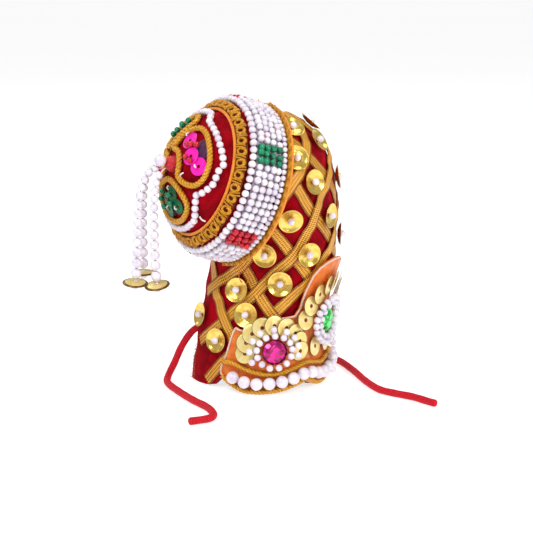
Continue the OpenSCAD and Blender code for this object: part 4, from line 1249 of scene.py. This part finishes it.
def lathe(name, profile, segments=160):
    # A closed outline in (radius, height) spun about the bun's axis
    n = len(profile)
    piece = new_piece(
        name, [(r, 0, z) for r, z in profile], [], edges=[(i, (i + 1) % n) for i in range(n)],
    )
    bpy.ops.object.mode_set(mode="EDIT")
    bpy.ops.mesh.select_all(action="SELECT")
    bpy.ops.mesh.spin(steps=segments, angle=2 * math.pi, center=(0, 0, 0), axis=(0, 0, 1))
    bpy.ops.object.mode_set(mode="OBJECT")
    outwards(weld=True)

    def corner(k, face):
        p = piece.data.vertices[k].co
        mid = math.atan2(face.center.y, face.center.x)
        ahead, over = math.cos(mid), math.sin(mid)
        turn = mid + math.atan2(p.y * ahead - p.x * over, p.x * ahead + p.y * over)
        return p.z / MM * 0.1, turn * 30

    map_uv(piece, corner)
    piece.data.transform(bun_frame)
    bpy.ops.object.shade_smooth_by_angle(angle=math.radians(50))
    return piece


TAPE_LEAN, TAPE_MID = -47, np.array([27.1, 0.5])
lean = math.radians(TAPE_LEAN)
tape_across = np.array([math.cos(lean), math.sin(lean)])
tape_out = np.array([-math.sin(lean), math.cos(lean)])


def on_tape(x, y):
    # Radius and height of a place across the leaning tape and out of it
    return tuple(TAPE_MID + tape_across * x + tape_out * y)


GROUND = [(-2.2, -0.5), (2.5, -0.45), (2.6, -0.8), (0, -0.9), (-2.4, -0.9)]
EDGING = [(-2.85, -0.6), (-2.9, 0.0), (-2.4, 0.4), (-1.8, 0.1), (-1.8, -0.6)]
for name, profile, finish in (
    ("face_braid_tape", GROUND, net_thread), ("face_braid_edge", EDGING, tape_thread),
):
    tape = lathe(name, [on_tape(x, y) for x, y in profile])
    ready(tape, name, finish)
spots = []
curl_r, curl_z = on_tape(0.45, 0.15)
for i in range(FACE_CURLS):
    spots.append(
        braid_spot(curl_r, curl_z, i * 360 / FACE_CURLS + rng.uniform(-0.6, 0.6), TAPE_LEAN + 4)
        @ Matrix.Rotation(rng.uniform(-0.3, 0.3), 4, "Z")
        @ Matrix.Rotation(rng.uniform(-0.16, 0.16), 4, "X")
        @ Matrix.Scale(rng.uniform(0.95, 1.06), 4)
    )
curls = copies("face_braid_curls", curl("curl"), spots)
ready(curls, "face_braid_curls", curl_gold)
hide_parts("bun_face_braid")

back_tape = lathe("back_braid_tape", [
    (30.2, -20.3), (30.2, -18.2), (32.4, -18.4), (33.2, -19), (33.2, -19.8), (32.4, -20.3),
])
apply_modifier(back_tape, "BOOLEAN", operation="DIFFERENCE", object=core, solver="EXACT")
ready(back_tape, "back_braid_tape", tape_thread)
spots = []
for i in range(BACK_CURLS):
    where = braid_spot(32.1, -18.9, i * 360 / BACK_CURLS, 8)
    where = where @ Matrix.Rotation(rng.uniform(-0.2, 0.2), 4, "Z")
    if not in_cap(where.translation / MM, 1.9):
        spots.append(where @ Matrix.Scale(0.88, 4))
curls = copies("back_braid_curls", curl("curl"), spots)
ready(curls, "back_braid_curls", curl_gold)
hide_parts("bun_back_braid")

# Pearl garland of the bun
# Strings of small pearls are laid side by side over a white band, four to a row, between a
# border of pearls on each side. Six blocks of red and green beads break the white.
ROW_Z = [-5.8, -8.6, -11.4, -14.2]
ROW_R, BEAD_D = 31.85, 2.72
# Where each coloured block starts, red and green in turn, and its width in degrees
PATCHES = [-5, 66, 131, 193, 250, 303]
PATCH_DEG = 15
# Radius, height, bead size and number of the border rows
BORDERS = {"garland_front_row": (30.7, -2.9, 2.85, 67), "garland_back_row": (31.5, -16.75, 2.25, 86)}


def round_bun(r, z, theta):
    # A place round the bun's axis: +X out from it, theta clockwise from the top
    return Matrix.Rotation(math.radians(180 - theta), 4, "Z") @ Matrix.Translation(Vector((r, 0, z)) * MM)


def ring_spot(r, z, theta, turn, size):
    return bun_frame @ round_bun(r, z, theta) @ Matrix.Rotation(turn, 4, "X") @ Matrix.Scale(size, 4)


blocks = {"garland_pearls": [], "garland_red_beads": [], "garland_green_beads": []}
for k, patch in enumerate(PATCHES):
    colour = "garland_green_beads" if k % 2 else "garland_red_beads"
    after = PATCHES[k + 1] if k + 1 < len(PATCHES) else PATCHES[0] + 360
    span = after - patch - PATCH_DEG
    count = round(span / 4.95)
    strings = [(colour, patch + (i - 1) * 5) for i in range(3)]
    strings += [("garland_pearls", patch + PATCH_DEG / 2 + (i + 0.5) * span / count) for i in range(count)]
    for block, theta in strings:
        slide, slant = rng.uniform(-0.5, 0.5), rng.uniform(-0.8, 0.8)
        for j, z in enumerate(ROW_Z):
            r = ROW_R + rng.uniform(-0.2, 0.15)
            z += slide * (j not in (0, 3))
            blocks[block].append(ring_spot(
                r, z, theta + slant * (j - 1.5) * 0.5, rng.uniform(-0.4, 0.4), rng.uniform(0.93, 1.09),
            ))
green_bead = mottled(
    "green pearl bead", 520, (0.0, 0.1, 0.045), (0.004, 0.32, 0.14), 0.35, 0.65,
    Roughness=0.22, Coat_Weight=0.1, Metallic=0.2,
)
red_bead = mottled(
    "red glass bead", 520, (0.32, 0.0, 0.01), (0.8, 0.004, 0.03), 0.35, 0.65,
    Roughness=0.22, Coat_Weight=0.1,
)
for block, finish, slot_name in (
    ("garland_pearls", pearl, "pearl"), ("garland_red_beads", red_bead, "red_bead"),
    ("garland_green_beads", green_bead, "green_bead"),
):
    piece = copies(block, small_pearl("bead", BEAD_D, 12, 8), blocks[block])
    ready(piece, block + "_strung", finish)
    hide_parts(block)
for node, (r, z, d, count) in BORDERS.items():
    piece = copies(node, small_pearl("bead", d, 12, 8), [
        ring_spot(
            r + rng.uniform(-0.1, 0.1), z + rng.uniform(-0.1, 0.1), i * 360 / count, 1.57,
            rng.uniform(0.97, 1.04),
        ) for i in range(count)
    ])
    ready(piece, node + "_strung", pearl)
    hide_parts(node)
# The white band is painted grey-lilac, darker than white cloth: painted shade for the gaps between the
# strings
white_band = mottled(
    "white cotton band", 700, (0.3, 0.22, 0.3), (0.6, 0.53, 0.6), depth=0.1, Roughness=0.8,
)
backing = lathe("garland_band", [
    (30.1, -4.6), (30.7, -4.6), (30.8, -6), (30.8, -15), (30.6, -15.6), (30.1, -15.6),
])
ready(backing, "garland_band", white_band)
# Ends of sewing thread that show between the strings
THREAD_BITS, BIT_R = 34, 0.2
bits = []
for i in range(THREAD_BITS):
    theta = rng.uniform(0, 360)
    z = rng.choice((-7.2, -10, -12.8, -15.5))
    p = round_bun(31.9, z, theta).translation
    q = round_bun(32.3, 0, theta + rng.uniform(1, 3)).translation
    q.z = (z + rng.uniform(-1.4, 1.4)) * MM
    line = np.array([(bun_frame @ p.lerp(q, s)) / MM for s in (0, 0.33, 0.67, 1)])
    bits.append(cord("bit", line, BIT_R, 5))
orange_thread = wound_material(
    "orange sewing thread", (0.5, 0.06, 0.01), (0.85, 0.22, 0.04), 0.3, 2, 0.03, Roughness=0.6,
)
bits = fuse("garland_threads", bits)
ready(bits, "garland_threads", orange_thread)

# Petals on the face of the bun
# Twisted gold cord is couched into four petals round the tuft, over dark purple sheets of painted shade.
# Each holds overlapping paillettes with seed beads on top, and a string of pearls runs round them.
PETAL_D, SEED_D = 2.4, 2.35
# Each petal's outline, in degrees across and up over the dome
PETALS = [
    [(11, -7), (9.5, 1), (4, 9), (-5, 11.5), (-3.5, 19), (2, 26), (11, 30), (21, 27), (30, 18), (35, 7),
     (34, -4), (28, -10.5), (19, -11)],
    [(7, -12.5), (-2, -11), (-12, -15), (-21, -23), (-25, -31), (-18, -37), (-8, -41), (5, -41),
     (15, -36), (21, -27), (16.5, -19)],
    [(-11, 4), (-12, -7), (-20, -12), (-29, -18), (-37, -11), (-37, 1), (-30, 8), (-20, 6.5)],
    [(-10, 13), (-20, 11.5), (-30, 14), (-31, 22), (-26, 31), (-17, 37), (-8, 40), (-1, 35), (-4, 27),
     (-8, 20)],
]


def to_world(p):
    return np.array([(bun_frame @ (Vector(q) * MM)) / MM for q in np.asarray(p)])


turn_only = bun_frame.to_3x3()


def face_to_world(places, lift):
    p, n = face_at(places, lift)
    return to_world(p), np.array([turn_only @ Vector(q) for q in n])


parts = []
for petal in PETALS:
    places = smooth_line(petal, 10, closed=True)
    p, n = face_to_world(places, np.full(len(places), PETAL_D / 2 + 0.25))
    line = even(np.hstack([p, n]), 0.28, closed=True)
    parts.append(cord("petal", line[:, :3], PETAL_D / 2, 12, gold_plies, line[:, 3:], closed=True))
petals = fuse("petal_cords_twisted", parts)
ready(petals, "petal_cords_twisted", gold_yarn)
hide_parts("petal_cords")

pink_film = mottled(
    "pink satin film", 500, (0.85, 0.005, 0.4), (1.0, 0.015, 0.52), 0.3, 0.7, 3, 0.02,
    Roughness=0.5, Specular_IOR_Level=0.3,
)
green_film = mottled(
    "dark green film", 500, (0.0, 0.07, 0.02), (0.002, 0.18, 0.06), 0.3, 0.7, 3, 0.02,
    Roughness=0.45, Specular_IOR_Level=0.2,
)
dress(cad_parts["pink_paillettes"], pink_film)
dress(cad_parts["green_paillettes"], green_film)
RED_SEEDS = [
    (11.2, 15.4), (15.2, 16.4), (19.6, 17), (15.5, 6.9), (20.2, 5.4), (-20.5, -1), (-25.5, -2), (-29.5, -6),
]
GREEN_SEEDS = [
    (-12.5, -25.6), (3.4, -21.2), (4.6, -27), (-8.7, -31), (-7.2, -20), (-22.5, 20.7), (-17.2, 24),
    (-13.8, 28.5), (-18.5, 29.5), (-9.5, 33),
]
for name, places, finish, slot_name in (
    ("red_seed_beads", RED_SEEDS, red_bead, "red_bead"),
    ("green_seed_beads", GREEN_SEEDS, green_bead, "green_bead"),
):
    p, n = face_to_world(places, np.full(len(places), 2.5))
    beads = copies(name, small_pearl("seed", SEED_D, 16, 10), [
        spot(p[i], n[i], rng.uniform(0, 6)) @ Matrix.Rotation(1.2, 4, "X") for i in range(len(places))
    ])
    ready(beads, name, finish)

# The string of pearls round the petals: size and spacing, then its way as degrees clockwise from
# the top and degrees from the middle
STRING_D, STRING_STEP = 2.8, 2.86
STRING_PATH = np.array([
    (0, 45.8), (6, 45.5), (21, 39.5), (34, 40), (55, 42), (78, 46), (84, 43.5), (100, 42), (114, 37),
    (121, 34), (133, 38.5), (145, 44.5), (164, 46.5), (200, 47), (215, 46), (228, 42), (238, 40),
    (250, 44), (262, 44.5), (275, 43.5), (285, 40), (292, 38.5), (300, 42), (315, 46.5), (335, 46.5),
    (360, 45.8),
])
theta = np.arange(0, 360, 1.0)
alpha = np.interp(theta, STRING_PATH[:, 0], STRING_PATH[:, 1])
ring = on_face(alpha, theta, np.full(len(theta), 1.6))
line = even(np.hstack([ring, face_normal(alpha, theta)]), STRING_STEP, closed=True)
places = to_world(line[:, :3])
ways = np.array([turn_only @ Vector(q) for q in line[:, 3:]])
beads = copies("face_string", small_pearl("pearl", STRING_D, 16, 10), [
    spot(places[i], ways[i], rng.uniform(0, 6)) @ Matrix.Rotation(PEARL_LEAN, 4, "X")
    for i in range(len(places))
])
ready(beads, "face_string_pearls", pearl)
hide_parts("face_pearl_string")

# Dark purple sheets under the cords, painted shade standing in for shaded paillettes, and the white
# stitches that hold the paillettes
purple = mottled(
    "purple painted shade", 800, (0.02, 0.0, 0.03), (0.1, 0.0, 0.09), Roughness=0.8, Sheen_Weight=0.4,
)
SHADE_PATCH_T, STITCH_R = 0.15, 0.32
SHADE_PATCHES = [(23, 15, 7.5, 9), (-26, 24, 5, 6), (-31, -6, 5, 6), (-6, -34, 8, 5)]
STITCHES = [
    ((24.3, 3.6), (26, 1.8)), ((16.4, -3.8), (13.8, -7)), ((3.3, 24), (3.6, 21.5)),
    ((0.5, -18), (0, -15.5)), ((7, -29), (9, -31)), ((-4, -30), (-6, -32.5)), ((31, -33), (35, -36)),
]
shade_patches = []
for x, y, wide, high in SHADE_PATCHES:
    shade_piece = primitive(bpy.ops.mesh.primitive_grid_add, x_subdivisions=10, y_subdivisions=10, size=1)
    places = []
    for u, w, _ in points_of(shade_piece) * 2:
        places.append((x + u * math.sqrt(1 - w * w / 2) * wide, y + w * math.sqrt(1 - u * u / 2) * high))
    p, n = face_to_world(places, 0.22 + 0.1 * np.sin(np.arange(len(places)) * 1.7))
    place_points(shade_piece, p)
    apply_modifier(shade_piece, "SOLIDIFY", thickness=SHADE_PATCH_T * MM, offset=0)
    shade_patches.append(shade_piece)
shade_patches = fuse("petal_shade_patches", shade_patches)
bpy.ops.object.shade_smooth()
ready(shade_patches, "petal_shade_patches", purple)
white_thread = wound_material(
    "white sewing thread", (0.5, 0.46, 0.48), (0.9, 0.88, 0.88), 0.3, 2, 0.03, Roughness=0.55,
)
stitches = []
for start, end in STITCHES:
    arch = 1.5 + 0.7 * np.sin(np.linspace(0.2, 2.9, 6))
    stitches.append(cord("stitch", face_to_world(np.linspace(start, end, 6), arch)[0], STITCH_R, 6))
stitches = fuse("petal_stitches", stitches)
ready(stitches, "petal_stitches", white_thread)

# Tuft in the middle of the face
# A tight knot of glossy red floss with a larger pearl sewn on top.
TUFT_R, TUFT_H, TUFT_STRANDS, FLOSS_R = 3.4, 4.1, 110, 0.24
knot = primitive(bpy.ops.mesh.primitive_uv_sphere_add, segments=32, ring_count=20, radius=1)
for vertex in knot.data.vertices:
    x, y, z = vertex.co
    z = max(z, -0.2)
    r = (TUFT_R - 0.45) * (1 + 0.05 * math.sin(5 * math.atan2(y, x) + 4 * z))
    high = FACE_RISE + 0.5 + (z + 0.2) / 1.2 * (TUFT_H - 0.9)
    vertex.co = (x * r * MM, y * r * MM, high * MM)
bpy.ops.object.shade_smooth()
strands = [knot]
for i in range(TUFT_STRANDS):
    start, sweep = rng.uniform(0, 2 * math.pi), rng.uniform(-0.9, 0.9)
    top = rng.uniform(0.05, 0.5)
    t = np.linspace(0, 1, 9)
    turn = start + sweep * t
    slope = 1.45 * t * (1 - top * 0.3)
    r = (TUFT_R - 0.32) * np.cos(slope * (1 - top * 0.1)) ** 0.8
    high = FACE_RISE + 0.3 + (TUFT_H - 0.55) * np.sin(slope)
    line = np.stack([r * np.cos(turn), r * np.sin(turn), high], 1)
    strands.append(cord("strand", to_world(line), FLOSS_R, 5))
knot.data.transform(bun_frame)
fresh_uv(knot)
floss = wound_material(
    "glossy red floss", (0.3, 0.0, 0.01), (0.8, 0.02, 0.035), 0.35, 3, 0.05, Roughness=0.4,
    Sheen_Weight=0.4, Sheen_Tint=(1, 0.4, 0.4, 1),
)
tuft = fuse("tuft_floss", strands)
ready(tuft, "tuft_floss", floss)
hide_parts("tuft")
dress(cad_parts["tuft_pearl"], pearl)

# Bead tassel
# Three strings of pearls that grow larger downwards hang from the tuft. Each ends in a flat gold
# sequin with a small pearl under it.
STRANDS = [
    [(-37.6, 25, 90.6), (-40.3, 28, 89.8), (-43, 30, 86.4), (-44.8, 31.4, 80), (-45.3, 32, 72),
     (-45.5, 32.4, 62), (-45.6, 32.8, 52), (-46, 33.6, 44), (-46.2, 34, 38)],
    [(-36.5, 25.7, 91.6), (-37.7, 29.4, 90.4), (-37.9, 32, 87), (-37.4, 33.8, 80), (-37, 34.5, 72),
     (-36.8, 34.8, 62), (-36.7, 34.9, 52), (-36.7, 34.9, 38)],
    [(-38.9, 23.1, 90.7), (-41.2, 24.2, 88.6), (-42.8, 25.2, 84.6), (-43.5, 25.7, 78), (-43.6, 25.8, 70),
     (-43.5, 25.8, 60), (-43.3, 25.5, 50), (-43, 25, 42), (-42.9, 24.8, 38)],
]
# Beads on each, place of the first, tilt of its sequin and the way its low side points
STRAND_ENDS = [(13, 3, 11, 110), (12, 4.2, 4, 0), (12, 4, 13, 290)]
BEAD_SMALL, BEAD_GROWTH, BEAD_GAP = 2.8, 1.4, 0.12
SEQUIN_AFTER, PEARL_AFTER = 2.9, 2.3
END_T, THREAD_R = 0.14, 0.25
END_RINGS = [(0.7, 0.15, 0), (1.2, 0.15, 0), (2.6, 0.3, 0), (4.2, 0.7, 0), (5, 1.0, 0)]
spots = []
for k, route in enumerate(STRANDS):
    dress(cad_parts[f"tassel_strand_{k + 1}"], pearl)
    count, first, tilt, turn = STRAND_ENDS[k]
    sizes = [BEAD_SMALL + BEAD_GROWTH * i / (count - 1) for i in range(count)]
    last = first + sum((sizes[i] + sizes[i + 1]) / 2 + BEAD_GAP for i in range(count - 1))
    sequin_run = last + SEQUIN_AFTER
    pearl_run = sequin_run + PEARL_AFTER
    fine = smooth_line(route, 4)
    run = runs(fine)
    i = max(j for j in range(len(run) - 1) if run[j] <= sequin_run)
    way = unit(fine[i + 1] - fine[i])
    p = fine[i] + (sequin_run - run[i]) * way
    tipped = Matrix.Rotation(math.radians(turn), 4, "Z") @ Matrix.Rotation(math.radians(-tilt), 4, "Y")
    spots.append(spot(p, way) @ tipped)
    used = np.vstack([fine[run < pearl_run - 1], fine[i] + (pearl_run - run[i]) * way])
    thread = cord("tassel_thread", even(used, 0.4), THREAD_R, 6, plied(2, 1.2, 0.2))
    ready(thread, f"tassel_thread_{k + 1}_spun", white_thread)
    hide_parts(f"tassel_thread_{k + 1}")
ends = copies("tassel_discs", disc_sequin("disc", END_RINGS, END_T), spots)
ready(ends, "tassel_discs", fan_film)
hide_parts("tassel_sequins")
dress(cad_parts["tassel_end_pearls"], pearl)

# Loose threads
# Ends left by hand sewing: a loop of orange thread over a sequin, and frayed pile along the cut
# edge of the velvet behind the tiara.
LOOP = [(86, 42), (83, 44), (82, 47), (85, 49.5), (90, 49.5), (93, 46.5), (91, 43.5), (87, 43)]
LOOP_R, FRAY_R, FRAYS, FRAY_AT = 0.16, 0.09, 26, 144
at = smooth_line(LOOP, 6)
line = on_skin(at[:, 0], at[:, 1], 1.2 + 1.5 * np.sin(np.linspace(0, math.pi, len(at))))
loose = [cord("loop", line, LOOP_R, 6)]
for i in range(FRAYS):
    v = 1.2 + i * 0.55 + rng.uniform(-0.2, 0.2)
    a = FRAY_AT + rng.uniform(-1, 1)
    root = on_skin(a, v, 0.1)
    tip = root + np.array([rng.uniform(-1.6, -0.2), rng.uniform(0.4, 1.6), rng.uniform(-0.5, 0.9)])
    bend = (root + tip) / 2 + np.array([rng.uniform(-0.3, 0.3), 0.2, rng.uniform(-0.3, 0.3)])
    loose.append(cord("fray", smooth_line([root, bend, tip], 4), FRAY_R, 4))
loose = fuse("loose_threads", loose)
ready(loose, "loose_threads", orange_thread)
bpy.data.objects.remove(core)
